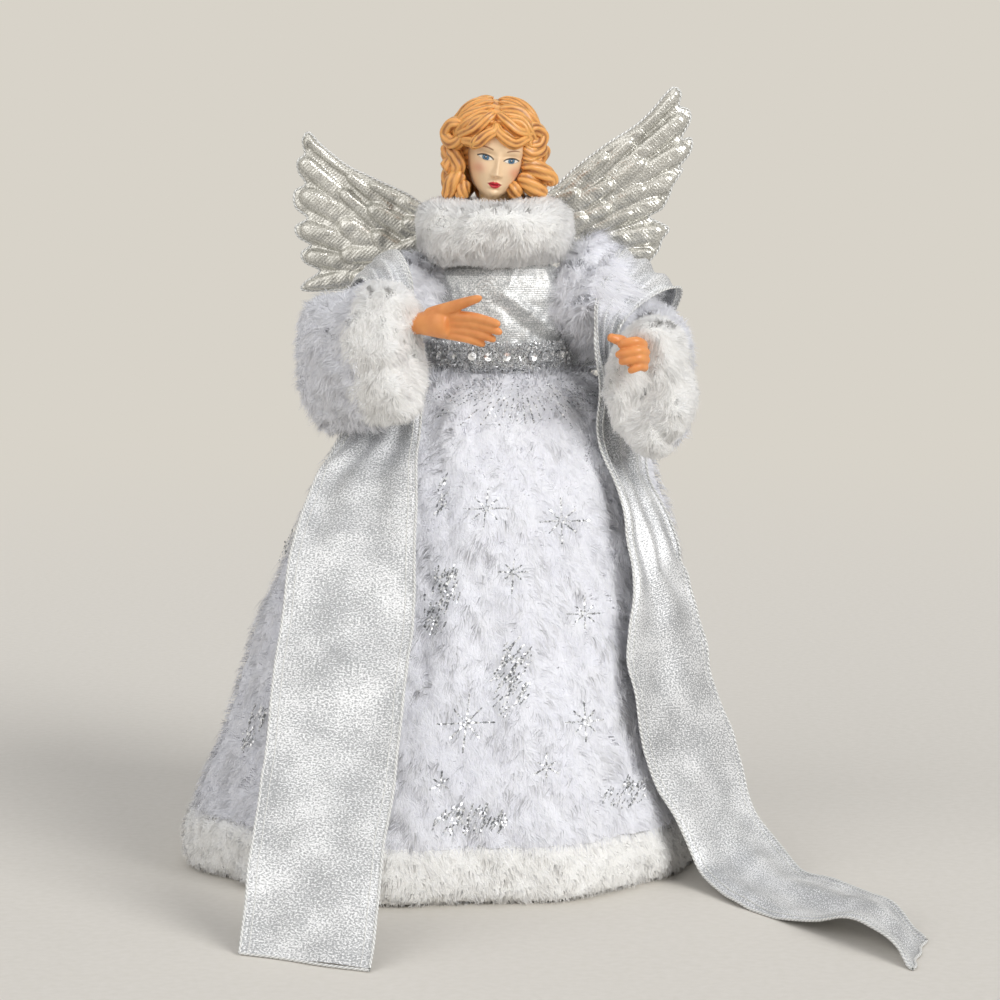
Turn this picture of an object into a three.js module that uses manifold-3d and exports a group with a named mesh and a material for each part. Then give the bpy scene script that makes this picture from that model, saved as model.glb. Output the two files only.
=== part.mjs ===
// Angel tree topper: a moulded doll in a plush gown, with padded wings and a wired ribbon stole,
// all carried by a card cone that goes over the tip of a tree.
// Millimetres, +Z up. The front faces -Y, and left and right are as seen from the front.
import * as THREE from 'three';
import { mergeVertices } from 'three/addons/utils/BufferGeometryUtils.js';
import Module from 'manifold-3d';

const wasm = await Module();
wasm.setup();

// Clearances
const seam = 0.3;
const runningGap = 1;
const overrun = 30;

// Card cone
const coneBaseRadius = 60;
const coneTopRadius = 23;
const coneHeight = 246;
const coneWall = 1.6;

// Torso form, its spigot in the cone and its neck peg
const torsoHalfWidth = 33;
const torsoHalfDepth = 25;
const torsoHeight = 59.5;
const spigotDepth = 18;
const shoulderDrop = 9;
const shoulderBack = 4.5;
const pegRadius = 5;
const pegInTorso = 22;
const pegInHead = 24;
const neckOffsetX = -3;
const neckOffsetY = -4;

// Clothing of the body
const bodiceCloth = 2;
const beltThickness = 3;
const beltHeight = 16;
const skirtWall = 7;
const hemRadius = 131;
const hemHeight = 30;
const hemPile = 14;
const hemBulge = 4;
const baseShiftX = -29;
const baseShiftY = -14;
const skirtWaistDepth = 6;
const foldDepth = 6;
const collarRadius = 40.5;
const collarPile = 29.5;
const collarHeight = 33.5;

// Head
const headLift = 1.2;
const headHeight = 51;
const hairHalfWidth = 25;
const hairHalfDepth = 25;
const hairWaveDepth = 1.3;
const faceHalfWidth = 16.3;
const faceHalfDepth = 19;
const faceHalfHeight = 22;
const faceForward = 7.5;
const neckRadius = 8;
const neckLength = 18;
const noseRadius = 2.4;
const tiltPivotHeight = 15;
const crownOffset = 3;

// Arms: places of the elbows and wrists from the middle of the torso's foot, and what covers them
const wireRadius = 1.5;
const leftElbowOffset = new THREE.Vector3(-90, -46, 29.7);
const leftWristOffset = new THREE.Vector3(-41, -75, 33.7);
const rightElbowOffset = new THREE.Vector3(84, -26, 23.7);
const rightWristOffset = new THREE.Vector3(67, -75, 21.7);
const elbowRadius = 15;
const forearmRadius = 5.8;
const stubLength = 22;
const cuffLength = 30;
const cuffHalfHeight = 38.5;
const cuffHalfWidth = 23.5;
const cuffPile = 18;
const sleeveCloth = 4;
const sleeveInset = 3;
const elbowLobeHalfHeight = 26;
const elbowLobeHalfWidth = 12.5;
const elbowLobeDrop = 29;
const elbowLobeForward = 5;
const leftCuffDrop = 14;
const leftCuffShift = -8;
const rightCuffDrop = 21;
const rightCuffShift = 4;
const leftPuffRadius = 17;
const rightPuffRadius = 24.1;
const leftSleeveEndRadius = 8.5;
const rightSleeveEndRadius = 13;

// Hands
const fingerRadius = 2.7;
const palmHalfHeight = 8;
const palmHalfThickness = 4.6;
const palmLength = 17;
const handLength = 43;

// Ribbon stole
const ribbonThickness = 0.8;
const ribbonWidth = 63;
const ribbonArmReach = 131;

// Wings
const wingSpan = 94;
const wingRise = 62;
const wingDrop = 42;
const wingRootLift = 29.6;
const wingHingeOut = 8;
const wingHingeBack = 45;
const wingPadHalf = 4;
const wingWireRadius = 0.8;
const tabThickness = 3;
const tabDrop = 24.1;

// Counts and angles
const roundSides = 24;
const skirtSides = 72;
const fingerSides = 6;
const leftWingDroop = THREE.MathUtils.degToRad(14);
const leftWingSweep = THREE.MathUtils.degToRad(10);
const rightWingSweep = THREE.MathUtils.degToRad(5);
const headTurn = THREE.MathUtils.degToRad(5);
const headNod = THREE.MathUtils.degToRad(5);
const headTilt = THREE.MathUtils.degToRad(9);
const hairWaves = 22;
const pleatCount = 2;

// Heights that follow from the stack: cone, torso, bodice, collar, head
const torsoFoot = coneHeight + seam;
const torsoTop = torsoFoot + torsoHeight;
const bodiceTop = torsoTop + seam + bodiceCloth;
const collarFoot = bodiceTop + seam;
const collarTop = collarFoot + collarHeight;
const headFoot = collarTop + headLift;
const wingRootHeight = collarFoot + wingRootLift;
const shoulderHeight = torsoTop - shoulderDrop;
const skirtTop = torsoFoot + skirtWaistDepth;
const skirtFoot = hemHeight + seam;
const bodiceFoot = skirtTop + seam;

const mix = (a, b, share) => a + (b - a) * share;
const vector = (x, y, z) => new THREE.Vector3(x, y, z);

const fromTorsoFoot = (offset) => offset.clone().add(vector(0, 0, torsoFoot));
const leftElbow = fromTorsoFoot(leftElbowOffset);
const leftWrist = fromTorsoFoot(leftWristOffset);
const rightElbow = fromTorsoFoot(rightElbowOffset);
const rightWrist = fromTorsoFoot(rightWristOffset);

// Materials

const finish = (color, roughness, metalness) => new THREE.MeshStandardMaterial({ color, roughness, metalness });
const card = finish(0xb9a98c, 0.9, 0);
const moulding = finish(0xe8e4da, 0.6, 0);
const skin = finish(0xf0a860, 0.45, 0);
const wire = finish(0x9a9a9a, 0.4, 1);
const lame = finish(0xc4c6c4, 0.35, 0.8);
const tinsel = finish(0x8f9294, 0.25, 0.9);
const longPlush = finish(0xe6e6ee, 0.95, 0);
const shortPlush = finish(0xf0f0ea, 0.95, 0);

// Solids from geometries

// A closed geometry as a solid: shared corners merged, slivers at the poles dropped, faces out.
function solid(geometry) {
  const bare = geometry.clone();
  bare.deleteAttribute('normal');
  bare.deleteAttribute('uv');
  const merged = mergeVertices(bare);
  const corners = merged.index.array;
  const places = merged.attributes.position;
  const triangles = [];
  let sixVolumes = 0;
  for (let i = 0; i < corners.length; i += 3) {
    const [a, b, c] = corners.slice(i, i + 3);
    if (a === b || b === c || c === a) continue;
    triangles.push([a, b, c]);
    const [pa, pb, pc] = [a, b, c].map((k) => new THREE.Vector3().fromBufferAttribute(places, k));
    sixVolumes += pa.dot(pb.cross(pc));
  }
  const facing = ([a, b, c]) => (sixVolumes < 0 ? [a, c, b] : [a, b, c]);
  const triVerts = new Uint32Array(triangles.flatMap(facing));
  return new wasm.Manifold(new wasm.Mesh({ numProp: 3, vertProperties: places.array, triVerts }));
}

// Every corner of a geometry moved by place(point), which changes the point.
function reshape(geometry, place) {
  const places = geometry.attributes.position;
  const point = new THREE.Vector3();
  for (let i = 0; i < places.count; i += 1) {
    point.fromBufferAttribute(places, i);
    place(point);
    places.setXYZ(i, point.x, point.y, point.z);
  }
  return geometry;
}

// A profile of [radius, height] pairs turned round Z, its corners then moved by place.
function turned(profile, sides, place = () => {}) {
  const outline = profile.map(([radius, height]) => new THREE.Vector2(radius, height));
  const geometry = new THREE.LatheGeometry(outline, sides);
  geometry.rotateX(Math.PI / 2);
  return solid(reshape(geometry, place));
}

// The turn that takes +Z to an axis and keeps the piece's own +Y as nearly upright as it can be.
function turnTo(axis) {
  const along = axis.clone().normalize();
  const side = new THREE.Vector3(0, 0, 1).cross(along);
  if (side.lengthSq() < Number.EPSILON) side.set(1, 0, 0);
  side.normalize();
  return new THREE.Matrix4().makeBasis(side, along.clone().cross(side), along);
}

// A solid moved from its own frame, +Z along the axis, to a place in its parent.
const laid = (piece, from, axis) => piece.transform(turnTo(axis).setPosition(from).elements);

// A tapered limb with round ends between two points.
function limb(from, to, startRadius, endRadius, sides = fingerSides) {
  const length = from.distanceTo(to);
  const roundShare = Math.SQRT1_2;
  const profile = [
    [0, -startRadius],
    [startRadius * roundShare, -startRadius * roundShare],
    [startRadius, 0],
    [endRadius, length],
    [endRadius * roundShare, length + endRadius * roundShare],
    [0, length + endRadius],
  ];
  return laid(turned(profile, sides), from, to.clone().sub(from));
}

// A round rod with flat ends between two points.
function rod(from, to, radius, sides = fingerSides) {
  const length = from.distanceTo(to);
  return laid(turned([[0, 0], [radius, 0], [radius, length], [0, length]], sides), from, to.clone().sub(from));
}

// A ball stretched to three half sizes, its corners then moved by place.
function ball(centre, halfSizes, sides = roundSides, place = () => {}) {
  const geometry = new THREE.SphereGeometry(1, sides, Math.ceil(sides / 2));
  geometry.rotateX(Math.PI / 2);
  reshape(geometry, (p) => p.multiply(halfSizes).add(centre));
  return solid(reshape(geometry, place));
}

const joined = (pieces) => pieces.reduce((whole, piece) => whole.add(piece));

function geometryOf(piece) {
  const { numProp, vertProperties, triVerts } = piece.getMesh();
  const geometry = new THREE.BufferGeometry();
  geometry.setAttribute('position', new THREE.BufferAttribute(vertProperties, numProp));
  geometry.setIndex(new THREE.BufferAttribute(triVerts, 1));
  return geometry;
}

// A named mesh from a solid, added to its group.
function addPiece(group, name, piece, material) {
  const geometry = geometryOf(piece);
  geometry.computeVertexNormals();
  const mesh = new THREE.Mesh(geometry, material);
  mesh.name = name;
  group.add(mesh);
}

// Cone, torso and bodice

function coneShell() {
  const profile = [
    [coneBaseRadius, 0],
    [coneTopRadius, coneHeight],
    [coneTopRadius - coneWall, coneHeight],
    [coneBaseRadius - coneWall, 0],
    [coneBaseRadius, 0],
  ];
  return turned(profile, roundSides);
}

// Shares of the torso's height and half width, from the waist to the flat of the shoulders.
const torsoProfileShares = [[0, 0.93], [0.35, 0.94], [0.72, 1], [0.9, 0.95], [1, 0.72]];

// The torso's outline grown on all sides, from a given foot up.
function torsoShape(grow, foot) {
  const profile = [[0, foot]];
  for (const [heightShare, widthShare] of torsoProfileShares) {
    const height = heightShare === 0 ? foot : torsoFoot + torsoHeight * heightShare + grow * heightShare;
    profile.push([torsoHalfWidth * widthShare + grow, height]);
  }
  profile.push([0, torsoTop + grow]);
  const depthShare = (torsoHalfDepth + grow) / (torsoHalfWidth + grow);
  return turned(profile, roundSides, (p) => p.setY(p.y * depthShare));
}

const neckAt = (height) => vector(neckOffsetX, neckOffsetY, height);
const shoulderOut = torsoHalfWidth + bodiceCloth + runningGap;
const leftShoulder = vector(-shoulderOut, shoulderBack, shoulderHeight);
const rightShoulder = vector(shoulderOut, shoulderBack, shoulderHeight);
const wireBore = rod(leftShoulder, rightShoulder, wireRadius + seam);

function torsoForm() {
  const spigotRadius = coneTopRadius - coneWall - seam;
  const spigotFoot = vector(0, 0, torsoFoot - spigotDepth);
  const spigot = rod(spigotFoot, vector(0, 0, torsoFoot + seam), spigotRadius, roundSides);
  const boreFoot = neckAt(torsoTop - pegInTorso - seam);
  const pegBore = rod(boreFoot, neckAt(torsoTop + overrun), pegRadius + seam, roundSides);
  return torsoShape(0, torsoFoot).add(spigot).subtract(pegBore).subtract(wireBore);
}

function bodice() {
  const neckHole = rod(neckAt(torsoFoot), neckAt(torsoTop + overrun), pegRadius + runningGap, roundSides);
  return torsoShape(seam + bodiceCloth, bodiceFoot)
    .subtract(torsoShape(seam, torsoFoot))
    .subtract(neckHole)
    .subtract(wireBore);
}

function belt() {
  const inner = seam + bodiceCloth + seam;
  const outside = torsoHalfWidth + inner + beltThickness + overrun;
  const foot = vector(0, 0, bodiceFoot);
  const slab = rod(foot, foot.clone().setZ(bodiceFoot + beltHeight), outside, roundSides);
  return torsoShape(inner + beltThickness, bodiceFoot).intersect(slab).subtract(torsoShape(inner, torsoFoot));
}

const neckPeg = () => rod(neckAt(torsoTop - pegInTorso), neckAt(headFoot + pegInHead), pegRadius, roundSides);

// Skirt, hem and collar

// The skirt leaves the waist as an oval and spreads to a round hem that leans to one side. Its
// spread follows a power of the share of its drop, and soft folds deepen towards the hem.
const skirtSpreadPower = 0.47;
const waistDepthShare = torsoHalfDepth / torsoHalfWidth;
const dropShare = (height) => THREE.MathUtils.clamp((skirtTop - height) / (skirtTop - skirtFoot), 0, 1);

// Deep folds: angle from the front at waist and hem, half width, both as shares of a half turn, then
// depth as a share of the wall, and the shares of the drop where the fold opens and closes.
const deepFoldShares = [
  [0.125, 0.146, 0.038, 1.15, 0.04, 0.9],
  [-0.105, -0.055, 0.036, 0.6, 0.05, 0.85],
  [0.03, 0.06, 0.06, 0.35, 0.45, 0.9],
  [0.36, 0.35, 0.05, 0.75, 0.05, 0.9],
  [0.6, 0.59, 0.055, 0.8, 0.05, 0.9],
  [0.82, 0.83, 0.05, 0.85, 0.05, 0.9],
  [-0.96, -0.95, 0.04, 0.55, 0.05, 0.9],
  [-0.73, -0.7, 0.05, 0.85, 0.05, 0.9],
  [-0.54, -0.51, 0.05, 0.6, 0.05, 0.9],
  [-0.3, -0.27, 0.05, 0.7, 0.05, 0.9],
];

const eased = (value, low, high) => {
  const share = THREE.MathUtils.clamp((value - low) / (high - low), 0, 1);
  return share * share * (3 - 2 * share);
};

function deepFolds(angle, share) {
  const frontShare = angle / Math.PI + 0.5;
  return deepFoldShares.reduce((sum, [atWaist, atHem, halfWidth, depth, opens, closes]) => {
    const offset = ((frontShare - mix(atWaist, atHem, share) + 5) % 2) - 1;
    const open = eased(share, opens, opens + 0.2) * (1 - eased(share, closes - 0.3, closes));
    return sum + depth * open * Math.exp(-((offset / halfWidth) ** 2));
  }, 0);
}

function drape(p) {
  const share = dropShare(p.z);
  const angle = Math.atan2(p.y, p.x);
  const folds = Math.cos(7 * angle + 1) * 0.5 + Math.cos(11 * angle) * 0.3 + Math.cos(4 * angle + 2) * 0.2;
  const hollow = skirtWall * deepFolds(angle, share);
  const radius = Math.hypot(p.x, p.y) + foldDepth * share ** skirtSpreadPower * folds - hollow;
  const depthShare = mix(waistDepthShare, 1, Math.sqrt(share));
  p.x = Math.cos(angle) * radius + baseShiftX * share;
  p.y = Math.sin(angle) * radius * depthShare + baseShiftY * share;
}

function skirtRadius(height) {
  const waist = torsoHalfWidth * torsoProfileShares[0][1] + seam + skirtWall / 2;
  return mix(waist, hemRadius, dropShare(height) ** skirtSpreadPower);
}

// The wall's outer and inner lines: a step off the spread curve along its normal each way.
function skirt() {
  const rowShares = [0, 0.02, 0.06, 0.13, 0.22, 0.34, 0.48, 0.64, 0.82, 1];
  const step = skirtWall / 10;
  const line = (offset) => rowShares.map((share) => {
    const height = mix(skirtTop, skirtFoot, share);
    const radius = skirtRadius(height);
    const slope = (skirtRadius(height - step) - skirtRadius(height + step)) / (2 * step);
    const lean = share === 0 ? vector(1, 0, 0) : vector(1, 0, slope).normalize();
    const lift = share === 1 ? 0 : lean.z * offset;
    return [radius + lean.x * offset, height + lift];
  });
  const outer = line(skirtWall / 2);
  const inner = line(-skirtWall / 2).reverse();
  return turned([...outer, ...inner, outer[0]], skirtSides, drape);
}

function hemBand() {
  const outerRadius = hemRadius + skirtWall / 2;
  const profile = [
    [outerRadius, 0],
    [outerRadius + hemBulge, hemHeight / 3],
    [outerRadius + hemBulge * 0.8, hemHeight * 0.7],
    [outerRadius, hemHeight],
    [outerRadius - hemPile, hemHeight],
    [outerRadius - hemPile, 0],
    [outerRadius, 0],
  ];
  return turned(profile, skirtSides, drape);
}

// A standing ring of plush round the neck: an oval section, a little lumpy round its length.
function collarRing(grow) {
  const centre = collarRadius - collarPile / 2;
  const profile = [];
  const steps = 10;
  for (let i = 0; i <= steps; i += 1) {
    const angle = (2 * Math.PI * i) / steps;
    const bulge = Math.abs(Math.cos(angle)) ** 0.8 * Math.sign(Math.cos(angle));
    const rise = Math.abs(Math.sin(angle)) ** 0.8 * Math.sign(Math.sin(angle));
    profile.push([centre + (collarPile / 2 + grow) * bulge, (collarHeight / 2 + grow) * rise]);
  }
  return turned(profile, roundSides, (p) => p.add(neckAt(collarFoot + collarHeight / 2)));
}

// Head: face, waved hair, curls and neck as one moulding with a bore for the peg

// Curls beside and behind the face, as shares of the hair's half width, half depth and the
// head's height, with the curl's radius as a share of the half width.
const curlShares = [
  [-0.82, -0.35, 0.62, 0.3],
  [-0.88, -0.25, 0.42, 0.33],
  [-0.86, -0.1, 0.22, 0.34],
  [-0.78, -0.42, 0.2, 0.26],
  [0.88, -0.35, 0.62, 0.3],
  [0.95, -0.25, 0.42, 0.33],
  [0.98, -0.1, 0.24, 0.34],
  [0.74, -0.42, 0.2, 0.26],
  [-0.62, 0.5, 0.3, 0.42],
  [0, 0.72, 0.3, 0.44],
  [0.62, 0.5, 0.3, 0.42],
];

function head() {
  const attitude = new THREE.Euler(headNod, headTilt, headTurn, 'ZYX');
  const turn = new THREE.Matrix4().makeRotationFromEuler(attitude);
  const faceHalf = vector(faceHalfWidth, faceHalfDepth, faceHalfHeight);
  const face = ball(vector(0, 0, 0), faceHalf, 16, (p) => {
    const lowShare = Math.max(0, -p.z / faceHalfHeight);
    p.x *= 1 - 0.3 * lowShare ** 2;
    p.y = p.y * (1 - 0.12 * lowShare) - faceForward;
    p.z += faceHalfHeight;
  });
  const crownHalfHeight = headHeight - faceHalfHeight;
  const crownHalf = vector(hairHalfWidth, hairHalfDepth, crownHalfHeight);
  const crown = ball(vector(0, 0, 0), crownHalf, 22, (p) => {
    const phase = hairWaves * (p.z / headHeight) + (3 * Math.abs(p.x)) / hairHalfWidth;
    const wave = 1 + (hairWaveDepth / hairHalfWidth) * Math.cos(phase);
    p.x = p.x * wave - crownOffset;
    p.y *= wave;
    p.z += headHeight - crownHalfHeight;
  });
  const curls = curlShares.map(([x, y, z, r]) => {
    const radius = r * hairHalfWidth;
    const height = Math.max(z * headHeight, radius + seam);
    return ball(vector(x * hairHalfWidth, y * hairHalfDepth, height), vector(radius, radius, radius), 8);
  });
  const noseAt = vector(0, -faceForward - faceHalfDepth, faceHalfHeight * 0.85);
  const nose = ball(noseAt, vector(noseRadius, noseRadius, noseRadius * 2), 8);
  const turnedParts = joined([face, nose, crown, ...curls])
    .translate([0, 0, -tiltPivotHeight])
    .transform(turn.elements)
    .translate([0, 0, tiltPivotHeight]);
  const level = vector(overrun * 2, overrun * 2, headHeight * 2);
  const underside = solid(new THREE.BoxGeometry(level.x, level.y, level.z)).translate([0, 0, -level.z / 2]);
  const neck = rod(vector(0, 0, -neckLength), vector(0, 0, faceHalfHeight), neckRadius, 16);
  const bore = rod(vector(0, 0, -neckLength - seam), vector(0, 0, pegInHead + seam), pegRadius + seam, 16);
  return turnedParts.subtract(underside).add(neck).subtract(bore);
}

// Arms

// The upper sleeve is a soft puff from the shoulder to the elbow, hollowed where the elbow turns.
function upperSleeve(shoulder, elbow, wrist, puffRadius, endRadius) {
  const length = shoulder.distanceTo(elbow);
  const start = puffRadius * 0.72;
  const profile = [
    [0, 0],
    [start, 0],
    [puffRadius * 0.96, length * 0.16],
    [puffRadius, length * 0.32],
    [mix(puffRadius, endRadius, 0.55), length * 0.52],
    [mix(puffRadius, endRadius, 0.9), length * 0.68],
    [endRadius, length - elbowRadius * 0.7],
    [0, length - elbowRadius * 0.7],
  ];
  const socket = elbowRadius + seam + runningGap / 2;
  return laid(turned(profile, 18), shoulder, elbow.clone().sub(shoulder))
    .subtract(ball(elbow, vector(socket, socket, socket), 20))
    .subtract(rod(elbow, wrist, socket + runningGap, 12))
    .subtract(torsoShape(seam + bodiceCloth + seam, torsoFoot))
    .subtract(collarRing(seam))
    .subtract(limb(shoulder, elbow, wireRadius + seam * 2, wireRadius + seam));
}

const towards = (from, to, distance) => from.clone().add(to.clone().sub(from).setLength(distance));

// One wire bent at both shoulders, from elbow to elbow through the torso.
function armWire() {
  const stop = elbowRadius + seam + runningGap / 2;
  const leftEnd = towards(leftElbow, leftShoulder, stop);
  const rightEnd = towards(rightElbow, rightShoulder, stop);
  return joined([
    rod(leftShoulder, leftEnd, wireRadius),
    limb(leftShoulder, rightShoulder, wireRadius, wireRadius),
    rod(rightShoulder, rightEnd, wireRadius),
  ]);
}

// In a forearm's own frame +Z runs from elbow to wrist, +Y is up, and the cuff hangs below it.
function bellPlace(bellLength, drop, shift) {
  return (p) => {
    const length = THREE.MathUtils.clamp(p.z / bellLength, 0, 1);
    const share = Math.sqrt(length);
    const heightShare = mix(1, (cuffHalfHeight - sleeveInset) / elbowRadius, share);
    const widthShare = mix(1, (cuffHalfWidth - sleeveInset) / elbowRadius, length);
    p.x = p.x * widthShare + shift * share;
    p.y = p.y * heightShare - drop * share;
  };
}

function bellSleeve(bellLength, drop, shift) {
  const r = elbowRadius;
  const ratioIn = (cuffHalfWidth - sleeveInset - sleeveCloth) / (cuffHalfWidth - sleeveInset);
  const profile = [[0, -r], [r * 0.5, -r * 0.87], [r * 0.87, -r * 0.5], [r, 0]];
  for (const share of [0.06, 0.2, 0.45, 0.72, 1]) profile.push([r, bellLength * share]);
  for (const share of [1, 0.72, 0.45, 0.2]) profile.push([r * ratioIn, bellLength * share]);
  profile.push([forearmRadius, bellLength * 0.16], [0, bellLength * 0.16]);
  const bore = rod(vector(0, 0, -elbowRadius / 2), vector(0, 0, bellLength), wireRadius + seam);
  return turned(profile, 20, bellPlace(bellLength, drop, shift)).subtract(bore);
}

// The slack of the left sleeve hangs below its elbow in a soft lobe.
function elbowLobe(elbow, wrist) {
  const hang = vector(0, -elbowLobeForward, -elbowLobeDrop);
  const centre = hang.applyMatrix4(turnTo(wrist.clone().sub(elbow)).invert());
  return ball(centre, vector(elbowLobeHalfWidth, elbowLobeHalfHeight, elbowLobeHalfWidth), 12);
}

// The cuff is a thick ring of plush on the mouth of the sleeve.
function cuff(bellLength, drop, shift) {
  const steps = 8;
  const profile = [];
  const middle = cuffHalfWidth - cuffPile / 2;
  for (let i = 0; i <= steps; i += 1) {
    const angle = (2 * Math.PI * i) / steps;
    const bulge = Math.abs(Math.cos(angle)) ** 0.75 * Math.sign(Math.cos(angle));
    const along = Math.abs(Math.sin(angle)) ** 0.6 * Math.sign(Math.sin(angle));
    profile.push([middle + (cuffPile / 2) * bulge, bellLength + seam + (cuffLength / 2) * (1 + along)]);
  }
  const tallness = cuffHalfHeight - cuffHalfWidth;
  const place = (p) => {
    const angle = Math.atan2(p.y, p.x);
    const radius = Math.hypot(p.x, p.y);
    p.y = Math.sin(angle) * (radius + tallness) - drop;
    p.x = Math.cos(angle) * radius + shift;
  };
  const mouth = vector(0, 0, bellLength + cuffLength * 2);
  const armHole = rod(vector(0, 0, bellLength), mouth, forearmRadius + runningGap, 14);
  return turned(profile, 24, place).subtract(armHole);
}

// The forearm's wire starts in the sleeve's elbow and ends in the hand's bore.
const forearmWire = (reach) => rod(vector(0, 0, -elbowRadius / 2 + seam), vector(0, 0, reach - runningGap), wireRadius);

function handOn(reach, fingers) {
  const stub = limb(vector(0, 0, reach - stubLength), vector(0, 0, reach), forearmRadius, forearmRadius * 0.92, 12);
  const boreEnd = vector(0, 0, reach - runningGap + seam);
  const bore = rod(vector(0, 0, reach - stubLength - overrun), boreEnd, wireRadius + seam);
  return joined([stub, ...fingers]).subtract(bore);
}

// The open hand lies across the body: fingers along the forearm, thumb up.
function openHand(reach) {
  const knuckle = reach + palmLength;
  const tip = reach + handLength;
  const palmAt = vector(0, -palmHalfThickness * 0.2, reach + palmLength * 0.55);
  const palm = ball(palmAt, vector(palmHalfThickness, palmHalfHeight, palmLength * 0.75), 12);
  const fingerShares = [[0.58, 0.1, 1], [0.2, -0.2, 0.99], [-0.25, -0.62, 0.93], [-0.62, -1.2, 0.76]];
  const fingers = fingerShares.map(([rootShare, endShare, lengthShare]) => limb(
    vector(0, palmHalfHeight * rootShare, knuckle),
    vector(fingerRadius * 0.8, palmHalfHeight * endShare, mix(reach, tip, lengthShare) - fingerRadius),
    fingerRadius,
    fingerRadius * 0.75,
  ));
  const thumb = limb(
    vector(0, palmHalfHeight * 0.35, reach + palmLength * 0.5),
    vector(-fingerRadius, palmHalfHeight * 1.6, reach + handLength * 0.72),
    fingerRadius * 1.25,
    fingerRadius * 0.7,
  );
  return handOn(reach, [palm, ...fingers, thumb]);
}

// The closed hand holds its fingers curled across the palm, thumb to the side.
function curledHand(reach) {
  const palmAt = vector(palmHalfThickness * 0.5, 0, reach + palmLength * 0.45);
  const palm = ball(palmAt, vector(palmHalfThickness * 1.2, palmHalfHeight * 1.1, palmLength * 0.62), 12);
  const rowShares = [[0.78, -0.75], [0.22, -0.85], [-0.36, -0.7], [-0.9, 0.1]];
  const front = reach + palmLength * 0.95;
  const fingers = rowShares.map(([heightShare, endShare]) => limb(
    vector(palmHalfHeight * 0.8, palmHalfHeight * heightShare, front),
    vector(palmHalfHeight * endShare, palmHalfHeight * heightShare * 0.9, front),
    fingerRadius,
    fingerRadius * 0.9,
  ));
  const thumb = limb(
    vector(-palmHalfThickness * 0.6, palmHalfHeight * 0.6, reach + palmLength * 0.4),
    vector(-palmHalfHeight * 1.55, palmHalfHeight * 1.25, front - fingerRadius),
    fingerRadius * 1.1,
    fingerRadius * 0.8,
  );
  return handOn(reach, [palm, ...fingers, thumb]);
}

// Ribbon stole: one long ribbon from the left tail's end, up over the left arm, across the back,
// over the right arm and down to the right tail's end.

// Stations along the ribbon: its inner and outer edge as shares [x, y, z], and the depth of its
// pleats as a share of its width. The tails' x and y are shares of the hem's radius, those of the
// stations over the arms are shares of the reach of the arms, and z is a share of the skirt's height.
const armStationShare = 1;
const ribbonStationShares = [
  [[-0.44, -2.02, 0.003], [-0.905, -1.79, 0.003], 0],
  [[-0.42, -1.82, 0.107], [-0.89, -1.63, 0.115], 0],
  [[-0.39, -1.56, 0.258], [-0.86, -1.37, 0.262], 0.02],
  [[-0.33, -1.12, 0.516], [-0.82, -0.97, 0.516], 0.03],
  [[-0.315, -0.78, 0.73], [-0.725, -0.66, 0.73], 0.04],
  [[-0.315, -0.56, 0.857], [-0.63, -0.45, 0.825], 0.04],
  [[-0.3, -0.36, 0.99], [-0.53, -0.35, 0.93], 0.05],
  [[-0.325, -0.235, 1.09], [-0.43, -0.31, 1.06], 0.05],
  [[-0.345, -0.25, 1.19], [-0.49, -0.32, 1.155], 0.03],
  [[-0.41, -0.12, 1.25], [-0.54, -0.215, 1.195], 0.02],
  [[-0.48, 0.05, 1.22], [-0.6, -0.08, 1.16], 0.02],
  [[-0.45, 0.14, 1.15], [-0.62, 0.02, 1.07], 0.04],
  [[-0.32, 0.26, 1.14], [-0.45, 0.2, 1], 0.04],
  [[0, 0.335, 1.14], [0, 0.35, 0.99], 0.04],
  [[0.32, 0.26, 1.14], [0.44, 0.22, 1], 0.04],
  [[0.49, 0.1, 1.19], [0.66, 0.06, 1.09], 0.04],
  [[0.47, -0.08, 1.245], [0.71, -0.1, 1.175], 0.03],
  [[0.38, -0.27, 1.16], [0.5, -0.29, 1.12], 0.03],
  [[0.375, -0.31, 1.08], [0.445, -0.28, 1.04], 0.05],
  [[0.385, -0.33, 1], [0.49, -0.16, 0.97], 0.03],
  [[0.405, -0.455, 0.853], [0.58, -0.17, 0.84], 0.02],
  [[0.45, -0.545, 0.754], [0.61, -0.27, 0.765], 0.04],
  [[0.495, -0.61, 0.635], [0.69, -0.35, 0.675], 0.04],
  [[0.495, -0.72, 0.484], [0.775, -0.36, 0.515], 0.03],
  [[0.515, -0.775, 0.365], [0.87, -0.37, 0.337], 0.02],
  [[0.62, -0.75, 0.187], [0.97, -0.38, 0.151], 0.01],
  [[0.75, -0.78, 0.032], [1.06, -0.45, 0.08], 0],
  [[0.89, -1.09, 0.008], [1.16, -0.75, 0.036], 0],
  [[1.09, -1.42, 0.024], [1.3, -1.04, 0.04], 0],
  [[1.27, -1.69, 0.056], [1.39, -1.27, 0.036], 0],
  [[1.375, -1.88, 0.036], [1.46, -1.45, 0.016], 0],
  [[1.42, -2.01, 0.004], [1.505, -1.62, 0.004], 0],
];

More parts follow.
